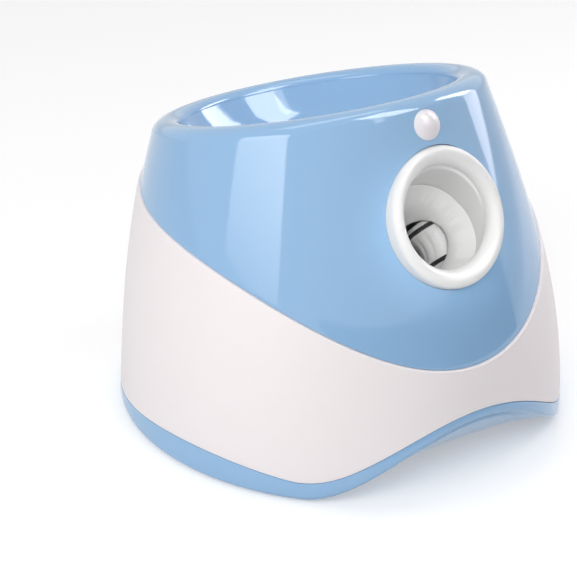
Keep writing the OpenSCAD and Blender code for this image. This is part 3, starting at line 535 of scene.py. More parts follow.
@dataclass(frozen=True)
class CellFinish(Finish):
    """Sleeve of a battery cell: a dark band and a bare metal end."""

    half_gap: float = 0.8 * MM
    cell_length: float = 50 * MM
    band_from: float = 0.60
    metal_from: float = 0.945
    border: float = 0.005
    band_colour: Colour = (0.07, 0.07, 0.08)
    metal_colour: Colour = (0.75, 0.75, 0.76)

    def pattern(self, b: SurfaceBench) -> Socket:
        """Bands across the cell, by the distance from the middle of the box.

        Args:
            b: the material's bench.

        Returns:
            The sleeve's colour.
        """
        along = b.math("SUBTRACT", b.math("ABSOLUTE", b.axis(b.where, 0)), self.half_gap)
        share = b.math("DIVIDE", along, self.cell_length)
        colour = super().pattern(b)
        for start, paint in ((self.band_from, self.band_colour),
                             (self.metal_from, self.metal_colour)):
            colour = b.blend(b.spread(share, start, start + self.border), colour, (*paint, 1))
        return colour


@dataclass(frozen=True)
class LensFinish(Finish):
    """Clear tinted plastic of the status lights."""

    clearness: float = 0.6
    bending: float = 1.49

    def extras(self) -> dict[str, float]:
        """Makes the plastic see-through."""
        return {"Transmission_Weight": self.clearness, "IOR": self.bending}


# Each finish's edge setting is a painted highlight along sharp edges, which also stands for rubbed wear.
FINISHES: dict[Slot, Finish] = {f.slot: f for f in (
    Finish(Slot.BLUE, (0.290, 0.500, 0.760), (0.260, 0.465, 0.730), drift=0.35, drift_scale=6,
           roughness=0.07, roughness_spread=0.03, grain=2, grain_scale=500,
           ripple=0.5, wear_and_highlight=0.10, dust=0.03, coat=0.25, coat_roughness=0.04),
    Finish(Slot.WHITE, (0.915, 0.864, 0.872), (0.895, 0.835, 0.845), drift=0.5, drift_scale=7,
           roughness=0.42, roughness_spread=0.08, grain=12, grain_scale=1500,
           wear_and_highlight=0.05, dust=0.04),
    Finish(Slot.BEZEL, (0.80, 0.80, 0.795), (0.77, 0.77, 0.765), drift=0.3,
           roughness=0.40, roughness_spread=0.08, grain=8, grain_scale=1200,
           wear_and_highlight=0.08, dust=0.04, coat=0.05, coat_roughness=0.3),
    Finish(Slot.FRAME, (0.76, 0.76, 0.75), (0.70, 0.70, 0.68), drift=0.4,
           roughness=0.5, grain=20, grain_scale=1300, wear_and_highlight=0.15, dust=0.12),
    Finish(Slot.WHEEL, (0.91, 0.91, 0.905), (0.86, 0.86, 0.85), drift=0.35, drift_scale=25,
           roughness=0.22, roughness_spread=0.10, grain=8, wear_and_highlight=0.10, dust=0.05),
    Finish(Slot.GRIP, (0.022, 0.022, 0.024), (0.045, 0.044, 0.042), drift=0.6, drift_scale=60,
           roughness=0.62, roughness_spread=0.15, grain=60, grain_scale=1600,
           wear_and_highlight=0.35, dust=0.10, specular=0.35),
    Finish(Slot.FOOT, (0.045, 0.045, 0.048), (0.07, 0.07, 0.07), drift=0.5, drift_scale=40,
           roughness=0.7, roughness_spread=0.1, grain=50, grain_scale=1400,
           wear_and_highlight=0.3, dust=0.15, specular=0.3),
    TurnedFinish(Slot.STEEL, (0.60, 0.61, 0.62), (0.50, 0.50, 0.51), drift=0.4, drift_scale=80,
                 roughness=0.26, roughness_spread=0.12, grain=6, metallic=1.0,
                 wear_and_highlight=0.1, dust=0.05),
    TurnedFinish(Slot.CAN, (0.52, 0.53, 0.54), (0.44, 0.44, 0.45), drift=0.5, drift_scale=50,
                 roughness=0.34, roughness_spread=0.14, grain=10, metallic=1.0,
                 wear_and_highlight=0.2, dust=0.1),
    TurnedFinish(Slot.BRASS, (0.72, 0.52, 0.24), (0.60, 0.42, 0.20), drift=0.5, drift_scale=90,
                 roughness=0.28, roughness_spread=0.12, grain=6, metallic=1.0,
                 wear_and_highlight=0.2, dust=0.05),
    BoardFinish(Slot.BOARD, (0.020, 0.115, 0.055), (0.015, 0.095, 0.045), drift=0.4,
                drift_scale=40, roughness=0.3, roughness_spread=0.1, grain=20,
                coat=0.3, coat_roughness=0.1, wear_and_highlight=0.1),
    MilkyFinish(Slot.DOME, (0.845, 0.805, 0.845), (0.86, 0.82, 0.84), drift=0.6,
                drift_scale=70, roughness=0.28, roughness_spread=0.08, grain=10,
                wear_and_highlight=0.0, dust=0.03),
    LensFinish(Slot.LENS, (0.55, 0.88, 0.58), (0.48, 0.82, 0.52), drift=0.3, roughness=0.08,
               roughness_spread=0.03, grain=3, wear_and_highlight=0.05, dust=0.02),
    Finish(Slot.BLACK, (0.020, 0.020, 0.022), (0.032, 0.032, 0.033), drift=0.4,
           roughness=0.35, grain=20, wear_and_highlight=0.25, dust=0.1),
    Finish(Slot.DARK, (0.055, 0.055, 0.060), (0.075, 0.075, 0.078), drift=0.4,
           roughness=0.5, grain=40, wear_and_highlight=0.25, dust=0.12),
    CellFinish(Slot.CELL, (0.62, 0.34, 0.09), (0.56, 0.30, 0.08), drift=0.3, roughness=0.2,
               grain=6, wear_and_highlight=0.1, coat=0.3),
    Finish(Slot.PADDLE, (0.22, 0.42, 0.66), (0.19, 0.37, 0.60), drift=0.4, roughness=0.42,
           grain=20, wear_and_highlight=0.25, dust=0.1),
)}


# ---- Making pieces ----


class Workshop:
    """Turns bmesh work into finished pieces that ride on the frame's bodies."""

    weld: float = 1e-6
    body_of: dict[str, str] = {node: body
                               for body, nodes in frame["record"]["behaviour"]["bodies"].items()
                               for node in nodes}

    @staticmethod
    def closed(bm: Form) -> Form:
        """Welds a form's doubles and turns its faces outwards.

        Args:
            bm: the form.

        Returns:
            The same form.
        """
        bmesh.ops.remove_doubles(bm, verts=bm.verts, dist=Workshop.weld)
        bmesh.ops.recalc_face_normals(bm, faces=bm.faces)
        return bm

    @staticmethod
    def grid(rows: Sequence[Row], columns: int, ring: bool = True) -> Form:
        """Wraps a flat grid into a closed skin.

        Args:
            rows: one function of the angle, in degrees, for each row.
            columns: how many steps round.
            ring: whether the last row joins the first.

        Returns:
            The welded skin, facing outwards.
        """
        bm = bmesh.new()
        steps = len(rows) if ring else len(rows) - 1
        bmesh.ops.create_grid(bm, x_segments=columns, y_segments=steps, size=0.5)
        for vert in bm.verts:
            row = rows[round((vert.co.y + 0.5) * steps) % len(rows)]
            vert.co = row(vert.co.x * 360.0)
        return Workshop.closed(bm)

    @staticmethod
    def turned(profile: Profile, steps: int, place: Matrix, ring: bool = True) -> Form:
        """Spins a profile about the Z axis.

        Args:
            profile: points as (radius, height), in order.
            steps: how many steps round.
            place: where the turned form goes.
            ring: whether the profile is closed on itself.

        Returns:
            The welded form, facing outwards.
        """
        bm = bmesh.new()
        verts = [bm.verts.new((r, 0.0, z)) for r, z in profile]
        pairs = list(zip(verts, verts[1:])) + ([(verts[-1], verts[0])] if ring else [])
        edges = [bm.edges.new(pair) for pair in pairs]
        bmesh.ops.spin(bm, geom=verts + edges, cent=(0, 0, 0), axis=(0, 0, 1), dvec=(0, 0, 0),
                       angle=2 * math.pi, steps=steps, use_merge=True, use_normal_flip=False,
                       use_duplicate=False)
        Workshop.closed(bm)
        bmesh.ops.transform(bm, matrix=place, verts=bm.verts)
        return bm

    @staticmethod
    def drum(radius: float, low: float, high: float, place: Matrix, steps: int) -> Form:
        """A plain round bar, for cutting.

        Args:
            radius: its radius.
            low: its lower end.
            high: its upper end.
            place: where it goes.
            steps: how many sides.

        Returns:
            The bar.
        """
        bm = bmesh.new()
        bmesh.ops.create_cone(bm, cap_ends=True, segments=steps, radius1=radius, radius2=radius,
                              depth=high - low)
        bmesh.ops.translate(bm, vec=(0, 0, (low + high) / 2), verts=bm.verts)
        bmesh.ops.transform(bm, matrix=place, verts=bm.verts)
        return bm

    @staticmethod
    def round_off(bm: Form, edges: list[bmesh.types.BMEdge], width: float, steps: int) -> None:
        """Rounds some of a form's edges.

        Args:
            bm: the form.
            edges: its edges to round.
            width: how far the rounding reaches from each edge.
            steps: how many faces make the rounding.
        """
        bmesh.ops.bevel(bm, geom=edges, offset=width, offset_type="OFFSET", segments=steps,
                        profile=0.5, affect="EDGES", clamp_overlap=True, material=-1)

    @staticmethod
    def loose(name: str, *forms: Form) -> Thing:
        """Makes an object that is not yet a piece, such as a cutter.

        Args:
            name: the object's name.
            forms: the separate forms in it, which are freed.

        Returns:
            The object.
        """
        together = bmesh.new()
        mesh = bpy.data.meshes.new(name)
        for form in forms:
            form.to_mesh(mesh)
            form.free()
            together.from_mesh(mesh)
        together.to_mesh(mesh)
        together.free()
        thing = bpy.data.objects.new(name, mesh)
        bpy.context.scene.collection.objects.link(thing)
        return thing

    @staticmethod
    def carve(piece: Thing, *cutters: Form) -> None:
        """Cuts forms out of an object.

        Args:
            piece: the object, whose mesh is replaced.
            cutters: the forms, which are freed.
        """
        for form in cutters:
            tool = Workshop.loose("cutter", form)
            change = piece.modifiers.new("carve", "BOOLEAN")
            change.operation, change.solver, change.object = "DIFFERENCE", "EXACT", tool
            depsgraph = bpy.context.evaluated_depsgraph_get()
            result = bpy.data.meshes.new_from_object(piece.evaluated_get(depsgraph))
            piece.modifiers.clear()
            old, piece.data = piece.data, result
            bpy.data.meshes.remove(old)
            bpy.data.objects.remove(tool)

    @staticmethod
    def finished(piece: Thing, slot: Slot, *nodes: str, sharp: float = 32.0,
                 body: Optional[str] = None) -> None:
        """Shades, dresses and mounts a piece.

        Args:
            piece: the object.
            slot: its finish.
            nodes: the CAD nodes it stands for.
            sharp: angle over which an edge stays sharp, in degrees.
            body: the body it rides on, if it stands for no node.
        """
        mesh = piece.data
        mesh.shade_smooth()
        mesh.set_sharp_from_angle(angle=math.radians(sharp))
        mesh.materials.clear()
        mesh.materials.append(FINISHES[slot].made())
        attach(piece, body or Workshop.body_of[nodes[0]])
        if nodes:
            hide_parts(*nodes)
        LOG.info("piece %s: %d faces", piece.name, len(mesh.polygons))

    @staticmethod
    def refined(node: str, name: str, slot: Slot, soften: float) -> None:
        """Copies a CAD node, welds it and rounds its edges as a mould does.

        Args:
            node: the CAD node.
            name: the new piece's name.
            slot: its finish.
            soften: width of the rounding.
        """
        flat, crease = math.radians(0.6), math.radians(34)
        bm = bmesh.new()
        bm.from_mesh(frame["nodes"][node].data)
        bmesh.ops.remove_doubles(bm, verts=bm.verts, dist=2 * Workshop.weld)
        bmesh.ops.dissolve_limit(bm, angle_limit=flat, verts=bm.verts, edges=bm.edges,
                                 delimit={"NORMAL"})
        edges = [e for e in bm.edges if e.is_manifold and e.calc_face_angle(0.0) > crease]
        Workshop.round_off(bm, edges, soften, 2)
        Workshop.finished(Workshop.loose(name, bm), slot, node)


# ---- Curves and places ----


def ease(t: float) -> float:
    """A smooth blend from 0 to 1."""
    t = min(1.0, max(0.0, t))
    return t * t * (3 - 2 * t)


def swell(angle: float, spread: float) -> float:
    """A swell that falls smoothly to nothing at either side, angles in degrees."""
    return (1 - (angle / spread) ** 2) ** 2 if abs(angle) < spread else 0.0


def span(low: float, high: float, count: int) -> list[float]:
    """Evenly spaced numbers, both ends included."""
    return [low + (high - low) * k / (count - 1) for k in range(count)]


def quarter(turns: Iterable[float]) -> list[tuple[float, float]]:
    """A quarter round of radius 1: (1 - sine, 1 - cosine) at each angle, in degrees."""
    return [(1 - math.sin(math.radians(t)), 1 - math.cos(math.radians(t))) for t in turns]


def polar(r: float, angle: float, z: float, back: float = 0.0) -> Vector:
    """A point on a circle round the Z axis.

    Args:
        r: the circle's radius.
        angle: angle from the front, in degrees, positive towards +X.
        z: the circle's height.
        back: how far the circle's centre lies towards the back.

    Returns:
        The point.
    """
    a = math.radians(angle)
    return Vector((r * math.sin(a), back - r * math.cos(a), z))


def upright(spot: Vector, z: float = 0.0) -> Matrix:
    """An upright frame over that spot, with its origin at height z."""
    return Matrix.Translation((spot.x, spot.y, z))


def tipped(y: float, z: float, degrees: float) -> Matrix:
    """A frame at (0, y, z) whose +Z points forwards and up.

    Args:
        y: its place from front to back.
        z: its height.
        degrees: angle of its +Z over the ground, towards -Y.

    Returns:
        The matrix.
    """
    return Matrix.Translation((0, y, z)) @ Matrix.Rotation(math.radians(90 - degrees), 4, "X")


@dataclass(frozen=True)
class BodyForm:
    """The body: a stack of circles whose radius and centre follow the height. Angle 0 is front."""

    radius_at_ground: float
    lowest: float
    height: float = 250 * MM
    side_lean: float = 65.8 * MM
    side_ease: float = 12.8 * MM
    back_lean: float = 67.6 * MM
    back_ease: float = 36.4 * MM
    seam_side: float = 157.5 * MM
    seam_dip: float = 69 * MM
    seam_spread: float = 54.3
    arch_height: float = 49 * MM
    arch_spread: float = 47.0
    band_height: float = 10.5 * MM
    band_thinning: float = 3.5 * MM
    band_spread: float = 50.0
    side_swell: float = 10 * MM
    side_at: float = 78.0
    side_spread: float = 44.0
    back_swell: float = 7 * MM
    back_spread: float = 40.0
    wall: float = 2.8 * MM
    stand_out: float = 1.8 * MM

    def radius(self, z: float) -> float:
        """Radius of the circle at that height."""
        s = z / self.height
        return self.radius_at_ground - self.side_lean * s ** 2 + self.side_ease * s ** 3

    def centre(self, z: float) -> float:
        """Place of the circle's centre towards the back."""
        s = z / self.height
        return self.back_lean * s ** 2 - self.back_ease * s ** 3 - FORWARD

    def point(self, angle: float, z: float, inset: float = 0.0) -> Vector:
        """A point on the body's surface, or inside it.

        Args:
            angle: angle round the body from the front, in degrees.
            z: height.
            inset: distance inside the surface.

        Returns:
            The point.
        """
        return polar(self.radius(z) - inset, angle, z, self.centre(z))

    def along(self, height: Callable[[float], float], rise: float, inset: float) -> Row:
        """A row round the body that follows one of its lines.

        Args:
            height: the line's height, as a function of the angle.
            rise: distance over the line.
            inset: distance inside the surface.

        Returns:
            The row.
        """
        return lambda angle: self.point(angle, height(angle) + rise, inset)

    def seam(self, angle: float) -> float:
        """Height of the seam between the casings."""
        return self.seam_side - self.seam_dip * math.exp(-((angle / self.seam_spread) ** 2))

    def sole(self, angle: float) -> float:
        """Height of the base's lower edge."""
        return self.lowest + self.arch_height * swell(angle, self.arch_spread)

    def band(self, angle: float) -> float:
        """Height of the base band's upper edge.

        Args:
            angle: angle round the body from the front, in degrees.

        Returns:
            The height, with swells over the arch, at both sides and at the back.
        """
        arch = (self.arch_height - self.band_thinning) * swell(angle, self.band_spread)
        side = self.side_swell * swell(abs(angle) - self.side_at, self.side_spread)
        back = self.back_swell * swell(180 - abs(angle), self.back_spread)
        return self.lowest + self.band_height + arch + side + back

    def step(self, angle: float, z: float) -> float:
        """How far the lower casing stands out."""
        low, high = self.band(angle), self.seam(angle)
        return self.stand_out * ease((z - low) / (high - low))


@dataclass(frozen=True)
class RimForm:
    """The tilted rim of the bowl and its rounded lip."""

    body: BodyForm
    tilt: float = 18.1
    y: float = 40 * MM - FORWARD
    z: float = 214.4 * MM
    bowl_radius: float = 98 * MM
    lip_height: float = 8 * MM
    lip_start: float = 20.0
    lip_start_change: float = 12.0
    search_low: float = 150 * MM
    search_high: float = 280 * MM
    halvings: int = 30
    inner_start: float = 2 * MM
    inner_drop: float = 6 * MM

    @property
    def place(self) -> Matrix:
        """The rim's frame: +Z along the bowl's axis."""
        return (Matrix.Translation((0, self.y, self.z))
                @ Matrix.Rotation(math.radians(-self.tilt), 4, "X"))

    def local(self, point: Vector) -> Vector:
        """A point in the rim's frame."""
        return self.place.inverted() @ point

    @lru_cache(maxsize=None)
    def edge_height(self, angle: float) -> float:
        """Height at which the body's side meets the rim's plane, by halving.

        Args:
            angle: angle round the body, in degrees.

        Returns:
            The height.
        """
        low, high = self.search_low, self.search_high
        for _ in range(self.halvings):
            middle = (low + high) / 2
            if self.local(self.body.point(angle, middle)).z > 0:
                high = middle
            else:
                low = middle
        return (low + high) / 2

    def edge(self, angle: float) -> Vector:
        """The rim's outer edge at that angle, in the rim's frame."""
        return self.local(self.body.point(angle, self.edge_height(angle)))

    def lip(self, angle: float, turn: float, wall: float = 0.0) -> Vector:
        """A point on the rounded lip.

        Args:
            angle: angle round the body, in degrees.
            turn: 0 at the outer edge, 1 at the inner edge.
            wall: distance inside the lip's face.

        Returns:
            The point.
        """
        edge = self.edge(angle)
        start = self.lip_start - self.lip_start_change * math.cos(math.radians(angle))
        half = ((math.hypot(edge.x, edge.y) - self.bowl_radius)
                / (1 + math.cos(math.radians(start))))
        t = math.radians(start + (180 - start) * turn)
        r = self.bowl_radius + half + (half - wall) * math.cos(t)
        lift = math.sin(t) - math.sin(math.radians(start)) * (1 - turn)
        return self.ring(angle, r, self.lip_height * lift - wall * math.sin(t))

    def ring(self, angle: float, r: float, w: float) -> Vector:
        """A point of the rim's frame in the body's column at that angle.

        Args:
            angle: angle round the body, in degrees.
            r: distance from the bowl's axis.
            w: height in the rim's frame.

        Returns:
            The point.
        """
        edge = self.edge(angle)
        rho = math.hypot(edge.x, edge.y)
        return self.place @ Vector((edge.x / rho * r, edge.y / rho * r, w))


@dataclass(frozen=True)
class MuzzleForm:
    """Places and sizes of the muzzle ring, the barrel and the sensor dome."""

    ring_y: float = -105.5 * MM - FORWARD
    ring_z: float = 183.9 * MM
    ring_angle: float = 28.0
    ring_radius: float = 48.9 * MM
    ring_narrow: float = 0.94
    mouth_radius: float = 35.6 * MM
    ring_out: float = 6 * MM
    ring_deep: float = 9 * MM
    sleeve_wall: float = 2.8 * MM
    barrel_y: float = -89.8 * MM - FORWARD
    barrel_z: float = 165.5 * MM
    launch_angle: float = 45.0
    dome_z: float = 242 * MM
    dome_angle: float = 28.5
    dome_radius: float = 10.6 * MM

    @property
    def ring(self) -> Matrix:
        """The muzzle ring's frame."""
        return tipped(self.ring_y, self.ring_z, self.ring_angle)

    @property
    def barrel(self) -> Matrix:
        """The barrel's frame, +Z out of the machine."""
        return tipped(self.barrel_y, self.barrel_z, self.launch_angle)

    def dome(self, body: BodyForm) -> Matrix:
        """The sensor dome's frame, on the body's front."""
        return tipped(body.centre(self.dome_z) - body.radius(self.dome_z), self.dome_z,
                      self.dome_angle)


# ---- Casings, base and bowl ----


@dataclass
class Casing:
    """The two casings, which meet at the seam."""

    body: BodyForm
    rim: RimForm
    muzzle: MuzzleForm
    post_angles: tuple[float, ...]
    columns: int = 256
    seam_gap: float = 0.35 * MM
    corner: float = 0.5 * MM
    tongue_gap: float = 0.3 * MM
    tongue: float = 2 * MM
    tongue_rise: float = 6 * MM
    ring_gap: float = 0.3 * MM
    ring_cut: tuple[float, float] = (-30 * MM, 40 * MM)
    dome_gap: float = 0.1 * MM
    dome_cut: tuple[float, float] = (-20 * MM, 20 * MM)
    ring_sides: int = 160
    dome_sides: int = 96
    boss_sides: int = 32
    boss_radius: float = 4.5 * MM
    boss_height: float = 8 * MM
    boss_bore: float = 1.5 * MM
    boss_edge: float = 0.4 * MM
    boss_chamfer: float = 0.6 * MM
    boss_inset: float = 7 * MM
    screw_reach: float = 12 * MM
    step_corner: float = 0.6 * MM
    edge_break: float = 0.15 * MM
    tongue_root: float = 12 * MM
    panel_flange: float = 4 * MM
    panel_gap: float = 0.3 * MM
    panel_cut: float = 20 * MM

    def build(self) -> None:
        """Builds both casings."""
        self.upper()
        self.bosses()
        self.lower()

    def _side(self, share: float, inset: float, lift: float = 0.0) -> Row:
        """A row on the upper casing's wall.

        Args:
            share: 0 at the seam, 1 at the lip.
            inset: distance inside the surface.
            lift: how far the row at the seam is lifted.

        Returns:
            The row.
        """
        def row(angle: float) -> Vector:
            """The wall's point at that angle."""
            low, high = self.body.seam(angle) + lift, self.rim.edge_height(angle)
            return self.body.point(angle, low + (high - low) * share, inset)
        return row

    def upper(self) -> None:
        """The blue upper casing with its rounded lip, cut for the muzzle ring and the dome."""
        wall, rim, gap, muzzle = self.body.wall, self.rim, self.seam_gap, self.muzzle
        rows: list[Row] = [self._side(0, wall, gap), self._side(0, self.corner, gap)]
        rows += [self._side(0, self.corner * across, gap + self.corner * up)
                 for across, up in quarter(span(0, 90, 4))]
        rows += [self._side(s, 0) for s in span(0.03, 1, 44)]
        rows += [lambda a, t=t: rim.lip(a, t) for t in span(0, 1, 26)[1:]]
        rows += [lambda a, r=r, w=w: rim.ring(a, r, w)
                 for r, w in ((rim.bowl_radius, -rim.inner_start),
                              (rim.bowl_radius, -rim.inner_drop),
                              (rim.bowl_radius + wall, -rim.inner_drop))]
        rows += [lambda a, t=t: rim.lip(a, t, wall) for t in span(0.95, 0.1, 10)]
        rows += [self._side(s, wall) for s in span(0.96, 0.03, 14)]
        piece = Workshop.loose("upper_casing", Workshop.grid(rows, self.columns))
        oval = muzzle.ring @ Matrix.Diagonal((muzzle.ring_narrow, 1, 1, 1))
        Workshop.carve(
            piece,
            Workshop.drum(muzzle.ring_radius + self.ring_gap, *self.ring_cut, oval, self.ring_sides),
            Workshop.drum(muzzle.dome_radius + self.dome_gap, *self.dome_cut,
                          muzzle.dome(self.body), self.dome_sides))
        Workshop.finished(piece, Slot.BLUE, "upper_shell")

    def bosses(self) -> None:
        """Screw bosses inside the upper casing, over the base's posts."""
        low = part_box("shell_screws")[1].z - self.screw_reach
        top, outer, bore = self.boss_height, self.boss_radius, self.boss_bore
        profile = [(bore, 0), (outer - self.boss_edge, 0), (outer, self.boss_edge),
                   (outer, top - self.boss_chamfer), (outer - self.boss_chamfer, top), (bore, top)]
        spots = [self.body.point(angle, low + top / 2, self.boss_inset)
                 for angle in self.post_angles]
        piece = Workshop.loose("casing_bosses", *(
            Workshop.turned(profile, self.boss_sides, upright(spot, low)) for spot in spots))
        Workshop.finished(piece, Slot.BLUE, body="housing")

    def lower(self) -> None:
        """The white lower casing, which stands out a little at the seam."""
        body, wall, rise = self.body, self.body.wall, self.tongue_rise
        inner = wall + self.tongue_gap
        innermost = inner + self.tongue

        def outer(share: float) -> Row:
            """A row on the outer face.

            Args:
                share: 0 at the base's band, 1 at the seam.

            Returns:
                The row.
            """
            def row(angle: float) -> Vector:
                """A point of the outer face.

                Args:
                    angle: angle round the body, in degrees.

                Returns:
                    The point.
                """
                low = body.band(angle) + self.seam_gap
                z = low + (body.seam(angle) - low) * share
                return body.point(angle, z, -body.step(angle, z))
            return row

        def back(share: float) -> Row:
            """A row on the inner face.

            Args:
                share: 0 at the base's band, 1 under the tongue's root.

            Returns:
                The row.
            """
            def row(angle: float) -> Vector:
                """The inner face's point at that angle."""
                low, high = body.band(angle), body.seam(angle) - self.tongue_root
                return body.point(angle, low + (high - low) * share, wall)
            return row

        rows = [body.along(body.band, self.seam_gap + lift, inset) for lift, inset in
                ((0, wall), (0, self.corner), (self.edge_break, self.edge_break))]
        rows += [outer(s) for s in span(0.006, 0.985, 46)]
        rows += [body.along(body.seam, -self.step_corner * down,
                            self.step_corner * across - body.stand_out)
                 for down, across in quarter((0, 25, 50, 70, 90))]
        rows += [body.along(body.seam, lift, inset) for lift, inset in
                 ((0, inner), (rise, inner), (rise, innermost), (-rise, innermost),
                  (-2 * rise, wall))]
        rows += [back(s) for s in span(0.9, 0.1, 9)]
        piece = Workshop.loose("lower_casing", Workshop.grid(rows, self.columns))
        low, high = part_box("control_panel")
        shrink = self.panel_gap - self.panel_flange
        Workshop.carve(piece, self._stadium(
            high.x + shrink, (high.z - low.z) / 2 + shrink, (low.z + high.z) / 2,
            low.y - self.panel_cut, high.y + self.panel_cut))
        Workshop.finished(piece, Slot.WHITE, "lower_shell")

    @staticmethod
    def _stadium(half: float, radius: float, z: float, front: float, back: float) -> Form:
        """A bar along Y with straight sides and round ends.

        Args:
            half: half of its width.
            radius: half of its height.
            z: height of its middle.
            front: its end towards -Y.
            back: its end towards +Y.

        Returns:
            The bar.
        """
        bm = bmesh.new()
        bmesh.ops.create_circle(bm, cap_ends=True, radius=radius, segments=96)
        for vert in bm.verts:
            if abs(vert.co.x) > Workshop.weld:
                vert.co.x += math.copysign(half - radius, vert.co.x)
        bmesh.ops.transform(bm, matrix=Matrix.Translation((0, front, z))
                            @ Matrix.Rotation(math.radians(90), 4, "X"), verts=bm.verts)
        top = bmesh.ops.extrude_face_region(bm, geom=list(bm.faces))["geom"]
        moved = [g for g in top if isinstance(g, bmesh.types.BMVert)]
        bmesh.ops.translate(bm, vec=(0, back - front, 0), verts=moved)
        bmesh.ops.recalc_face_normals(bm, faces=bm.faces)
        return bm


@dataclass
class Base:
    """The base with the arch in front, and its posts."""

    body: BodyForm
    casing: Casing
    floor: float = 3 * MM
    flat: float = 84 * MM
    edge_round: float = 4 * MM
    edge_share: float = 0.85
    upper_edge: tuple[tuple[float, float], ...] = (
        (-0.4 * MM, 0.0), (-0.1 * MM, 0.12 * MM), (0.0, 0.5 * MM))
    tongue_chamfer: float = 0.3 * MM
    cover_gap: float = 0.3 * MM
    cover_corner: float = 2 * MM
    cover_cut: float = 30 * MM
    corner_steps: int = 6
    post_sides: int = 40
    recess_sides: int = 32
    post_radius: float = 5 * MM
    post_start: float = 4 * MM
    post_foot: float = 6.5 * MM
    waist_radius: float = 5.4 * MM
    waist_height: float = 7 * MM
    waist_end: float = 12 * MM
    post_edge: float = 0.5 * MM
    post_bore: float = 1.65 * MM
    head_bore: float = 3.4 * MM
    head_depth: float = 6 * MM
    hole_start: float = -5 * MM
    hole_end: float = 8 * MM
    seat_height: float = 170 * MM
    recess_radius: float = 3.1 * MM
    recess_depth: float = 1.2 * MM
    screw_inset: float = 2.9 * MM

    def build(self) -> None:
        """Builds the base and its posts."""
        self.pan()
        self.posts()

    def pan(self) -> None:
        """The blue pan, whose floor rises to the arch."""
        body, joint = self.body, self.casing
        inner, rise = body.wall + joint.tongue_gap, joint.tongue_rise

        def ground(share: float, up: float) -> Row:
            """A row across the floor.

            Args:
                share: 0 in the middle, 1 at the rounded edge.
                up: distance over the underside.

            Returns:
                The row.
            """
            def row(angle: float) -> Vector:
                """A point of the floor.

                Args:
                    angle: angle round the body, in degrees.

                Returns:
                    The point.
                """
                rim = body.radius(body.sole(angle)) - self.edge_round
                r = rim * share
                arch = max(0.0, (r - self.flat) / (rim - self.flat)) ** 2
                lift = (body.sole(angle) - body.lowest) * arch
                return polar(r, angle, body.lowest + up + lift, -FORWARD)
            return row

        def rounded(across: float, up: float) -> Row:
            """A row on the rounded lower edge.

            Args:
                across: share of the rounding's width that is left.
                up: share of its height.

            Returns:
                The row.
            """
            def row(angle: float) -> Vector:
                """A point of the edge.

                Args:
                    angle: angle round the body, in degrees.

                Returns:
                    The point.
                """
                sole = body.sole(angle)
                edge = min(self.edge_round, (body.band(angle) - sole) * self.edge_share)
                return body.point(angle, sole + edge * up, self.edge_round * across)
            return row

        rows: list[Row] = [ground(s, 0) for s in span(0, 0.985, 30)]
        rows += [rounded(across, up) for across, up in quarter(span(0, 90, 14))]
        rows += [body.along(body.band, lift, inset) for lift, inset in
                 (*self.upper_edge, (0, inner), (rise - self.tongue_chamfer, inner),
                  (rise, inner + self.tongue_chamfer), (rise, inner + joint.tongue))]
        rows += [ground(s, self.floor) for s in span(0.985, 0, 24)]
        piece = Workshop.loose("base_pan", Workshop.grid(rows, joint.columns, ring=False))
        Workshop.carve(piece, self._opening(), *self._holes())
        Workshop.finished(piece, Slot.BLUE, "base_tray")

    def _opening(self) -> Form:
        """The battery opening, to be cut from the base.

        Returns:
            The cutter.
        """
        low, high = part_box("battery_cover")
        gap = 2 * self.cover_gap
        bm = bmesh.new()
        bmesh.ops.create_cube(bm, size=1.0)
        bmesh.ops.scale(bm, vec=(high.x - low.x + gap, high.y - low.y + gap, self.cover_cut),
                        verts=bm.verts)
        bmesh.ops.translate(bm, vec=((low.x + high.x) / 2, (low.y + high.y) / 2, 0),
                            verts=bm.verts)
        edges = [e for e in bm.edges if abs(e.verts[0].co.z - e.verts[1].co.z) > 1 * MM]
        Workshop.round_off(bm, edges, self.cover_corner, self.corner_steps)
        return bm

    def _holes(self) -> list[Form]:
        """The recesses for the casing's and the cradle's screws, to be cut from the base.

        Returns:
            The cutters.
        """
        holes = [Workshop.drum(self.head_bore, self.hole_start, self.hole_end, upright(spot),
                               self.post_sides) for spot in self._seats()]
        low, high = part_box("cradle_screws")
        depth = self.body.lowest + self.recess_depth
        for x in (low.x + self.screw_inset, high.x - self.screw_inset):
            for y in (low.y + self.screw_inset, high.y - self.screw_inset):
                holes.append(Workshop.drum(self.recess_radius, self.hole_start, depth,
                                           Matrix.Translation((x, y, 0)), self.recess_sides))
        return holes

    def _seats(self) -> list[Vector]:
        """Where the posts stand."""
        return [self.body.point(angle, self.seat_height, self.casing.boss_inset)
                for angle in self.casing.post_angles]

    def posts(self) -> None:
        """Hollow posts that carry the upper casing."""
        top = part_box("base_tray")[1].z
        shoulder = top - self.head_depth
        profile = [(self.head_bore, self.post_start), (self.post_foot, self.post_start),
                   (self.waist_radius, self.waist_height), (self.post_radius, self.waist_end),
                   (self.post_radius, top - self.post_edge),
                   (self.post_radius - self.post_edge, top), (self.post_bore, top),
                   (self.post_bore, shoulder), (self.head_bore, shoulder)]
        piece = Workshop.loose("base_posts", *(
            Workshop.turned(profile, self.post_sides, upright(spot)) for spot in self._seats()))
        Workshop.finished(piece, Slot.BLUE, body="housing")


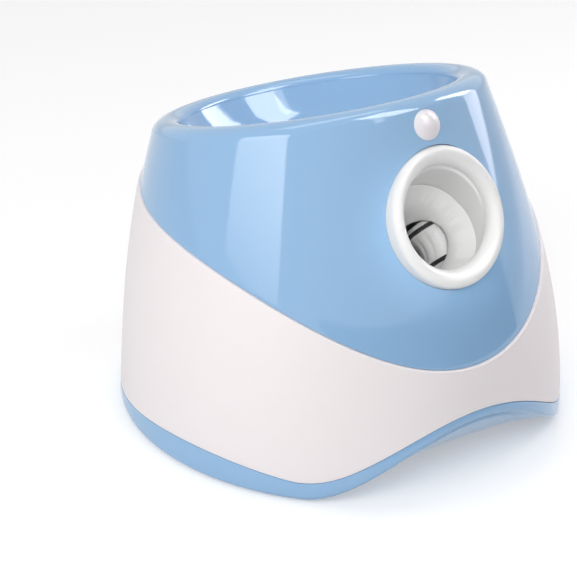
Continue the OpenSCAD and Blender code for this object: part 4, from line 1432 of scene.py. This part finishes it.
@dataclass
class Bowl:
    """The bowl that holds the balls."""

    rim: RimForm
    columns: int = 256
    throat: float = 28 * MM
    throat_flare: float = 2.4 * MM
    throat_round: float = 2 * MM
    throat_rise: float = 1.1 * MM
    depth: float = 62 * MM
    wall: float = 2.5 * MM
    slope: float = 30.0
    shoulder: float = 14 * MM
    rim_gap: float = 0.15 * MM
    seat_gap: float = 0.3 * MM
    lead_in: float = 0.25 * MM
    flange: float = 5 * MM
    flange_low: float = 11 * MM
    flange_high: float = 6 * MM

    def build(self) -> None:
        """A steep curved wall over a cone, down to the throat."""
        edge, throat = self.rim.bowl_radius, self.throat
        top, flush = -1 * MM, edge - self.rim_gap
        knee = (edge - self.shoulder - throat) * math.tan(math.radians(self.slope)) - self.depth
        inside = [(flush + 0.1 * MM, 0), (flush, -self.lead_in)]
        for t in span(0.02, 1, 26):
            inset = self.wall * (1 - max(0.0, 1 - 2 * t) ** 2)
            inside.append((flush - inset - self.shoulder * t * t,
                           -self.lead_in + (knee - top) * t))
        cone = inside[-1][0]
        inside += [(cone + (throat - cone) * t, knee + (-self.depth - knee) * t)
                   for t in span(0.08, 0.94, 14)]
        inside += [(throat + self.throat_flare * across,
                    self.throat_rise - self.depth - self.throat_round * down)
                   for across, down in quarter(span(0, 90, 6))]
        bottom = -self.depth - self.wall
        under = [(throat, bottom), (throat + 9 * MM, bottom), (edge - 12 * MM, knee - self.wall),
                 (edge - 7 * MM, knee * 0.7), (edge - 2.5 * MM, -14 * MM),
                 (edge + self.flange, -self.flange_low), (edge + self.flange, -self.flange_high),
                 (edge - self.seat_gap, -self.flange_high), (edge - self.seat_gap, top)]
        bm = Workshop.turned(inside + under, self.columns, self.rim.place)
        Workshop.finished(Workshop.loose("ball_bowl", bm), Slot.BLUE, "hopper_bowl")


@dataclass
class Feet:
    """Four rubber pads with a rounded rim and a ring groove."""

    radius: float = 10 * MM
    reach: float = 126 * MM
    rounding: float = 0.5 * MM
    groove: float = 3 * MM
    groove_width: float = 1.6 * MM
    groove_slant: float = 0.3 * MM
    angles: tuple[float, ...] = (-140, -53, 53, 140)
    columns: int = 48

    def build(self) -> None:
        """Builds the pads as one piece."""
        low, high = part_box("rubber_feet")
        thick, r, soft, slant = high.z - low.z, self.radius, self.rounding, self.groove_slant
        start, end = r - self.groove, r - self.groove - self.groove_width
        profile = [(0, thick), (r, thick), (r, soft), (r - soft * 0.3, soft * 0.3), (r - soft, 0),
                   (start, 0), (start - slant, soft), (end + slant, soft), (end, 0), (0, 0)]
        piece = Workshop.loose("foot_pads", *(
            Workshop.turned(profile, self.columns,
                            Matrix.Translation(polar(self.reach, angle, 0, -FORWARD)), ring=False)
            for angle in self.angles))
        Workshop.finished(piece, Slot.FOOT, "rubber_feet")


# ---- Muzzle and wheels ----


@dataclass
class Muzzle:
    """The muzzle ring with its sleeve, the barrel and the sensor dome."""

    form: MuzzleForm
    body: BodyForm
    columns: int = 192
    edge: float = 5 * MM
    drop: float = 9 * MM
    lip_end: float = 1.4 * MM
    lip_lead: float = 0.1 * MM
    sleeve_chamfer: float = 0.3 * MM
    bore_end: float = 5.5 * MM
    sleeve_end: float = 8 * MM
    dome_columns: int = 96
    dome_rise: float = 4.6 * MM
    dome_depth: float = 8 * MM
    dome_wall: float = 1.5 * MM
    dome_inner: float = 2.5 * MM
    dome_shoulder: float = 0.5 * MM

    def build(self) -> None:
        """Builds the muzzle's parts."""
        self.ring()
        self.dome()
        Workshop.refined("barrel", "barrel_moulding", Slot.BEZEL, 0.5 * MM)
        Workshop.refined("sensor_board", "sensor_circuit", Slot.BOARD, 0.12 * MM)

    def _on_face(self, r: float, depth: float) -> Row:
        """An oval in the ring's own frame, as wide as it is high at the mouth.

        Args:
            r: half of its height.
            depth: its place along the ring's axis.

        Returns:
            The row.
        """
        form = self.form
        share = min(1.0, (r - form.mouth_radius)
                    / (form.ring_radius - self.edge - form.mouth_radius))
        wide, face = r * (1 - (1 - form.ring_narrow) * share), form.ring
        return lambda a: face @ Vector((wide * math.sin(math.radians(a)),
                                        r * math.cos(math.radians(a)), depth))

    def _on_tube(self, r: float, share: float, front: float) -> Row:
        """A circle on the sleeve.

        Args:
            r: its radius.
            share: 0 at the barrel, 1 at a plane across the ring's axis.
            front: the plane's place on that axis.

        Returns:
            The row.
        """
        tube, inside, probe = self.form.barrel, self.form.ring.inverted(), 10 * MM

        def row(angle: float) -> Vector:
            """A point of the sleeve.

            Args:
                angle: angle round the barrel's axis, in degrees.

            Returns:
                The point.
            """
            x, y = r * math.sin(math.radians(angle)), r * math.cos(math.radians(angle))
            base = inside @ (tube @ Vector((x, y, 0)))
            tip = inside @ (tube @ Vector((x, y, probe)))
            reach = probe * (front - base.z) / (tip.z - base.z)
            return tube @ Vector((x, y, reach * share))
        return row

    def ring(self) -> None:
        """The ring lies flush on the body; its sleeve follows the barrel's axis."""
        form, edge, on_face, on_tube = self.form, self.edge, self._on_face, self._on_tube
        outer, mouth, out, deep = (form.ring_radius, form.mouth_radius, form.ring_out,
                                   form.ring_deep)
        rows = [on_face(outer - form.sleeve_wall, -deep), on_face(outer, -deep)]
        rows += [on_face(outer, d) for d in span(1 * MM - deep, out - edge, 6)]
        rows += [on_face(outer - edge * across, out - edge * down)
                 for down, across in quarter(span(10, 90, 12))]
        lip = outer - mouth - edge
        rows += [on_face(mouth + lip * across, out - self.drop * down)
                 for across, down in quarter(span(5, 90, 18))]
        rows += [on_face(mouth + self.lip_lead, out - self.drop - self.lip_end)]
        rows += [on_tube(mouth, s, -self.bore_end) for s in span(1, 0.02, 16)]
        sleeve = mouth + form.sleeve_wall
        rows += [on_tube(mouth + self.sleeve_chamfer, 0, 0), on_tube(sleeve, 0, 0)]
        rows += [on_tube(sleeve, s, -self.sleeve_end) for s in span(0.1, 1, 8)]
        piece = Workshop.loose("muzzle_ring", Workshop.grid(rows, self.columns))
        Workshop.finished(piece, Slot.BEZEL, "muzzle_bezel", sharp=40)

    def dome(self) -> None:
        """The sensor's domed lens with a fine shoulder."""
        r, rise = self.form.dome_radius, self.dome_rise
        ball = (r * r + rise * rise) / (2 * rise)
        crown, bore = r - self.dome_shoulder, r - self.dome_wall
        profile = [(0, -self.dome_inner), (bore, -self.dome_inner), (bore, -self.dome_depth),
                   (r, -self.dome_depth), (r, 0), (r - 0.12 * MM, 0.3 * MM), (crown, 0.42 * MM)]
        profile += [(ball * math.sin(t), ball * math.cos(t) - ball + rise)
                    for t in span(math.asin(crown / ball), 0, 24)[1:]]
        bm = Workshop.turned(profile, self.dome_columns, self.form.dome(self.body), ring=False)
        Workshop.finished(Workshop.loose("sensor_lens", bm), Slot.DOME, "sensor_dome", sharp=50)


@dataclass
class LaunchWheels:
    """The two launch wheels with their rubber rings, axles and motors."""

    columns: int = 240
    grip_columns: int = 540
    width: float = 36 * MM
    ring_at: float = 13 * MM
    ring_width: float = 2.7 * MM
    ring_radius: float = 39 * MM
    ring_deep: float = 2 * MM
    drum_drop: float = 2.5 * MM
    drum_wall: float = 4 * MM
    drum_edge: float = 0.8 * MM
    hub_radius: float = 7 * MM
    hub_drop: float = 4 * MM
    bore: float = 1.6 * MM
    half_web: float = 2 * MM
    hollow: float = 3.5 * MM
    flutes: int = 20
    flute_depth: float = 0.55 * MM
    ribs: int = 90
    rib_depth: float = 0.16 * MM
    rib_end_depth: float = 0.12 * MM

    def build(self) -> None:
        """Builds both sides."""
        joints = {j["child"]: j for j in frame["joints"]}
        for side in ("left", "right"):
            place = self._place(joints[f"wheel_{side}_body"])
            self.drum(side, place)
            self.grips(side, place)
            Workshop.refined(f"axle_{side}", f"wheel_axle_{side}", Slot.STEEL, 0.3 * MM)
            Workshop.refined(f"motor_{side}", f"wheel_motor_{side}", Slot.CAN, 0.6 * MM)
        Workshop.refined("motor_screws", "motor_fasteners", Slot.STEEL, 0.3 * MM)

    @staticmethod
    def _place(joint: dict) -> Matrix:
        """The wheel's frame, +Z along its axle."""
        turn = Vector((0, 0, 1)).rotation_difference(Vector(joint["axis"])).to_matrix().to_4x4()
        return Matrix.Translation(joint["pos_m"]) @ turn

    @staticmethod
    def _circle(place: Matrix, r: float, z: float, cut: Callable[[float], float]) -> Row:
        """A circle round the axle, with a cut in it.

        Args:
            place: the wheel's frame.
            r: the circle's radius.
            z: its place along the axle.
            cut: how deep the cut is at an angle in radians.

        Returns:
            The row.
        """
        def row(angle: float) -> Vector:
            """A point of the circle.

            Args:
                angle: angle round the axle, in degrees.

            Returns:
                The point.
            """
            a = math.radians(angle)
            left = r - cut(a)
            return place @ Vector((left * math.cos(a), left * math.sin(a), z))
        return row

    def drum(self, side: str, place: Matrix) -> None:
        """The white drum: hollowed, fluted between the rings, with a web and a hub.

        Args:
            side: left or right.
            place: the wheel's frame.
        """
        drum = self.ring_radius - self.drum_drop
        seat, hub, web, edge = drum - self.ring_deep, self.hub_radius, self.half_web, self.drum_edge
        inner, half = seat - self.drum_wall, self.width / 2
        inside, outside = self.ring_at - self.ring_width / 2, self.ring_at + self.ring_width / 2

        def circle(r: float, z: float, flute: float = 0.0) -> Row:
            """A circle, with flutes where it has any."""
            return self._circle(place, r, z, lambda a: flute * (
                0.5 - 0.5 * math.cos(a * self.flutes)) ** 2)

        flank = [(drum, inside), (seat, inside), (seat, outside), (drum, outside),
                 (drum, half - edge), (drum - 0.25 * MM, half - 0.25 * MM), (drum - edge, half),
                 (inner + 0.4 * MM, half), (inner, half - 0.4 * MM),
                 (inner - 0.3 * MM, web + 1 * MM), (inner - 1.3 * MM, web),
                 (hub + 1.2 * MM, web), (hub, web + 1.2 * MM),
                 (hub - 0.2 * MM, half - self.hub_drop - 0.4 * MM),
                 (hub - 0.6 * MM, half - self.hub_drop), (self.bore, half - self.hub_drop)]
        middle = [circle(drum - self.hollow * (1 - (z / inside) ** 2), z,
                         self.flute_depth * (1 - (z / inside) ** 4))
                  for z in span(-inside * 0.97, inside * 0.97, 15)]
        rows = ([circle(r, -z) for r, z in reversed(flank)] + middle
                + [circle(r, z) for r, z in flank])
        bm = Workshop.grid(rows, self.columns)
        Workshop.finished(Workshop.loose(f"launch_drum_{side}", bm), Slot.WHEEL, f"wheel_{side}")

    def grips(self, side: str, place: Matrix) -> None:
        """Two rubber rings with rounded edges and fine cross ribs.

        Args:
            side: left or right.
            place: the wheel's frame.
        """
        outer, half, soft = self.ring_radius, self.ring_width / 2, 0.5 * MM
        seat, end = outer - self.drum_drop - self.ring_deep, self.rib_end_depth

        def circle(r: float, z: float, rib: float) -> Row:
            """A circle whose radius steps with the ribs."""
            return self._circle(place, r, z, lambda a: rib * ease(
                0.5 + 1.5 * math.cos(a * self.ribs)))

        profile = [(seat, -half, 0.0), (outer - soft, -half, 0.0),
                   (outer - soft * 0.3, soft * 0.3 - half, 0.0), (outer, soft - half, end),
                   (outer, 0.0, self.rib_depth), (outer, half - soft, end),
                   (outer - soft * 0.3, half - soft * 0.3, 0.0), (outer - soft, half, 0.0),
                   (seat, half, 0.0)]
        rings = [Workshop.grid([circle(r, middle + z, rib) for r, z, rib in profile],
                               self.grip_columns) for middle in (-self.ring_at, self.ring_at)]
        piece = Workshop.loose(f"grip_bands_{side}", *rings)
        Workshop.finished(piece, Slot.GRIP, f"grips_{side}")


# ---- Feeder, electrics and rear panel ----


@dataclass
class Fittings:
    """Pieces with the solids' form: new name, finish and edge softening in mm for each node."""

    softened: dict[str, tuple[str, Slot, float]]

    def build(self) -> None:
        """Builds every piece."""
        for node, (name, slot, soften) in self.softened.items():
            Workshop.refined(node, name, slot, soften * MM)


@dataclass
class Feeder(Fittings):
    """Chute, cradle, paddle, the feeder's gears and the inner screws."""

    softened: dict[str, tuple[str, Slot, float]] = field(default_factory=lambda: {
        "drop_chute": ("ball_chute", Slot.FRAME, 0.6),
        "feed_cradle": ("cradle_moulding", Slot.FRAME, 0.4),
        "feed_paddle": ("paddle_moulding", Slot.PADDLE, 0.8),
        "paddle_shaft": ("paddle_rod", Slot.STEEL, 0.4),
        "paddle_bushes": ("rod_bushes", Slot.BRASS, 0.3),
        "feeder_gear": ("large_gear", Slot.FRAME, 0.12),
        "feeder_pinion": ("small_gear", Slot.BRASS, 0.1),
        "feeder_axle": ("small_gear_axle", Slot.STEEL, 0.2),
        "gear_cover": ("gear_housing", Slot.PADDLE, 0.5),
        "feeder_motor": ("feeder_drive", Slot.CAN, 0.6),
        "cradle_screws": ("cradle_fasteners", Slot.STEEL, 0.3),
        "chute_screws": ("chute_fasteners", Slot.STEEL, 0.3),
        "shell_screws": ("casing_fasteners", Slot.STEEL, 0.3),
    })


@dataclass
class Electrics(Fittings):
    """Rear panel, buttons, lights, inlet, boards and the battery compartment."""

    softened: dict[str, tuple[str, Slot, float]] = field(default_factory=lambda: {
        "control_panel": ("rear_panel", Slot.BLUE, 0.4),
        "dc_socket": ("power_inlet", Slot.BLACK, 0.3),
        "control_board": ("control_circuit", Slot.BOARD, 0.15),
        "status_lights": ("light_pipes", Slot.LENS, 0.2),
        "power_button": ("power_key", Slot.BEZEL, 0.3),
        "range_button": ("range_key", Slot.BEZEL, 0.3),
        "battery_box": ("cell_box", Slot.DARK, 0.6),
        "battery_cells": ("cells", Slot.CELL, 0.6),
        "battery_contacts": ("cell_contacts", Slot.STEEL, 0.2),
        "battery_cover": ("cell_cover", Slot.BLUE, 0.4),
    })


# ---- Stage ----


def hung(lamp: Lamp, spot: Vector, target: Vector, glossy: bool = True) -> Thing:
    """Hangs a lamp.

    Args:
        lamp: the lamp's data.
        spot: where it hangs.
        target: the point it is aimed at.
        glossy: whether reflections show it.

    Returns:
        The lamp's object.
    """
    thing = bpy.data.objects.new(lamp.name, lamp)
    thing.location = spot
    thing.rotation_euler = (target - spot).to_track_quat("-Z", "Y").to_euler()
    thing.visible_glossy = glossy
    bpy.context.scene.collection.objects.link(thing)
    return thing


def outwards(azimuth: float, elevation: float) -> Vector:
    """Direction from the launcher to a viewer at those angles, in degrees."""
    a, e = math.radians(azimuth), math.radians(elevation)
    return Vector((math.sin(a) * math.cos(e), -math.cos(a) * math.cos(e), math.sin(e)))


@dataclass(frozen=True)
class Panel:
    """A soft rectangular lamp, placed on a circle round the launcher and aimed at it.

    Azimuth 0 is in front, and 90 on the right-hand side.
    """

    name: str
    azimuth: float
    distance: float
    low: float
    high: float
    width: float
    radiance: float
    tint: Colour = (1.0, 1.0, 1.0)
    target: float = 0.15
    fade: float = 0.0
    sill: float = 0.8
    diffuse: bool = True
    glossy: bool = True

    def place(self) -> None:
        """Adds the lamp, which the camera doesn't see."""
        height = self.high - self.low
        lamp = bpy.data.lights.new(self.name, "AREA")
        lamp.shape = "RECTANGLE"
        lamp.size, lamp.size_y = self.width, height
        lamp.energy = self.radiance * math.pi * self.width * height
        lamp.color = self.tint
        if self.fade:
            self._faded(lamp)
        spot = polar(self.distance, self.azimuth, (self.low + self.high) / 2)
        thing = hung(lamp, spot, Vector((0, 0, self.target)), self.glossy)
        thing.visible_camera, thing.visible_diffuse = False, self.diffuse

    def _faded(self, lamp: Lamp) -> None:
        """Lets the lamp fade towards its lower edge, like a window over a sill.

        Args:
            lamp: the lamp's data.
        """
        lamp.use_nodes = True
        b = NodeBench(lamp.node_tree)
        rise = b.axis(b.add("NewGeometry").outputs["Parametric"], 1)
        glow = b.add("Emission", Strength=b.spread(rise, 0.0, self.sill, 1 - self.fade))
        b.add("OutputLight", Surface=glow.outputs[0])


LAMPS = (
    Panel("left_window", -82, 1.25, 0.26, 0.84, 0.74, 4.6, fade=0.82),
    Panel("left_upper", -82, 1.25, 0.84, 1.05, 0.74, 2.0, glossy=False),
    Panel("right_window", 84, 0.95, 0.14, 1.00, 0.32, 2.9, (0.96, 0.92, 1.0)),
    Panel("front_key", -48, 2.2, 1.6, 2.7, 1.3, 4.2, glossy=False),
    Panel("front_strip", 2, 1.3, 0.90, 2.5, 0.28, 3.0),
    Panel("overhead", 180, 0.7, 2.0, 2.6, 1.8, 2.4),
    Panel("right_streak", 86, 0.93, 0.42, 1.04, 0.32, 6.0, diffuse=False),
    Panel("front_streak", 26, 1.2, 1.1, 2.9, 0.95, 7.5, diffuse=False),
)


@dataclass
class Stage:
    """Camera, floor, lamps and world."""

    azimuth: float = -38.81
    elevation: float = 25.95
    distance: float = 1.9
    target_height: float = 0.125
    pan: float = 1.2
    tip: float = 1.19
    roll: float = 2.71
    lens: float = 165.7
    sensor: float = 36.0
    floor_size: float = 8.0
    floor_colour: Colour = (0.76, 0.76, 0.76)
    floor_glow: float = 0.38
    fade_from: float = 1.8
    fade_to: float = 5.0
    ambient: float = 0.36
    snoot_power: float = 60.0
    snoot_beam: float = 2.9
    snoot_blend: float = 0.5
    snoot_softness: float = 40 * MM
    snoot_distance: float = 1.5
    snoot_shift: float = 6.0
    snoot_target: tuple[float, float, float] = (4 * MM, -100 * MM, 165 * MM)
    card_radius: float = 0.75
    card_angles: tuple[float, float] = (-45, 60)
    card_heights: tuple[float, float] = (0.02, 0.25)
    card_columns: int = 12
    card_colour: Colour = (0.02, 0.02, 0.02)

    def build(self) -> None:
        """Sets the whole stage."""
        self.camera()
        self.floor()
        self.world()
        for lamp in LAMPS:
            lamp.place()
        self.snoot()
        self.card()
        bpy.context.scene.view_settings.view_transform = "Standard"

    def snoot(self) -> None:
        """A narrow soft lamp into the muzzle, from beside the camera."""
        lamp = bpy.data.lights.new("muzzle_snoot", "SPOT")
        lamp.energy = self.snoot_power
        lamp.spot_size = math.radians(self.snoot_beam)
        lamp.spot_blend = self.snoot_blend
        lamp.shadow_soft_size = self.snoot_softness
        target = Vector(self.snoot_target)
        away = outwards(self.azimuth + self.snoot_shift, self.elevation + self.snoot_shift)
        hung(lamp, target + self.snoot_distance * away, target, glossy=False)

    def card(self) -> None:
        """A dark curved card, low in front, which only reflections show."""
        bm = bmesh.new()
        last: tuple = ()
        for angle in span(*self.card_angles, self.card_columns):
            pair = tuple(bm.verts.new(polar(self.card_radius, angle, z))
                         for z in self.card_heights)
            if last:
                bm.faces.new((*last, *reversed(pair)))
            last = pair
        card = Workshop.loose("flag", bm)
        b = SurfaceBench("flag_dark")
        paint = b.add("BsdfPrincipled", Base_Color=(*self.card_colour, 1))
        card.data.materials.append(b.surface(paint))
        card.visible_camera = card.visible_diffuse = card.visible_shadow = False
        card.visible_transmission = False

    def camera(self) -> None:
        """Places the camera on its orbit, then turns it a little to frame the launcher."""
        data = bpy.data.cameras.new("camera")
        data.lens, data.sensor_width = self.lens, self.sensor
        camera = bpy.data.objects.new("camera", data)
        a = math.radians(self.azimuth)
        back, right = outwards(self.azimuth, self.elevation), Vector((math.cos(a), math.sin(a), 0))
        axes = Matrix((right, back.cross(right), back)).transposed().to_4x4()
        turn = (Matrix.Rotation(math.radians(self.pan), 4, "Y")
                @ Matrix.Rotation(math.radians(-self.tip), 4, "X")
                @ Matrix.Rotation(math.radians(self.roll), 4, "Z"))
        spot = Vector((0, -FORWARD, self.target_height)) + back * self.distance
        camera.matrix_world = Matrix.Translation(spot) @ axes @ turn
        bpy.context.scene.collection.objects.link(camera)
        bpy.context.scene.camera = camera

    def floor(self) -> None:
        """A pale floor that keeps the launcher's shadow and fades to white far away."""
        bm = bmesh.new()
        bmesh.ops.create_grid(bm, x_segments=4, y_segments=4, size=self.floor_size)
        plane = Workshop.loose("floor", bm)
        b = SurfaceBench("floor_pale")
        cloth = b.add("BsdfDiffuse", Color=(*self.floor_colour, 1))
        glow = b.add("Emission", Color=(1, 1, 1, 1), Strength=b.times(b.shown(), self.floor_glow))
        lit = b.add("AddShader")
        b.feed(cloth.outputs[0], lit.inputs[0])
        b.feed(glow.outputs[0], lit.inputs[1])
        away = b.add("VectorMath", operation="LENGTH", Vector=b.where).outputs["Value"]
        far = b.times(b.spread(away, self.fade_from, self.fade_to),
                      b.add("LightPath").outputs["Is Camera Ray"])
        white = b.add("Emission", Color=(1, 1, 1, 1), Strength=1.0)
        seamless = b.add("MixShader")
        for socket, source in zip(seamless.inputs, (far, lit.outputs[0], white.outputs[0])):
            b.feed(source, socket)
        plane.data.materials.append(b.surface(seamless))

    def world(self) -> None:
        """White to the camera and in reflections, and a plain soft light otherwise."""
        world = bpy.data.worlds.new("studio")
        bpy.context.scene.world = world
        world.use_nodes = True
        b = NodeBench(world.node_tree)
        sky = b.add("Background", Color=(1, 1, 1, 1),
                    Strength=b.spread(b.shown(), 0.0, 1.0, self.ambient))
        b.add("OutputWorld", Surface=sky.outputs[0])


def main() -> None:
    """Builds the stage and every part of the launcher."""
    logging.basicConfig(level=logging.INFO, format="%(name)s: %(message)s")
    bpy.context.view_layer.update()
    body = BodyForm(radius_at_ground=160 * MM, lowest=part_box("base_tray")[0].z)
    rim, muzzle = RimForm(body), MuzzleForm()
    casing = Casing(body, rim, muzzle, post_angles=(-120, -60, 60, 120))
    for part in (Stage(), casing, Base(body, casing), Bowl(rim), Feet(), Muzzle(muzzle, body),
                 LaunchWheels(), Feeder(), Electrics()):
        LOG.info("building %s", type(part).__name__)
        part.build()


if __name__ == "__main__":
    main()
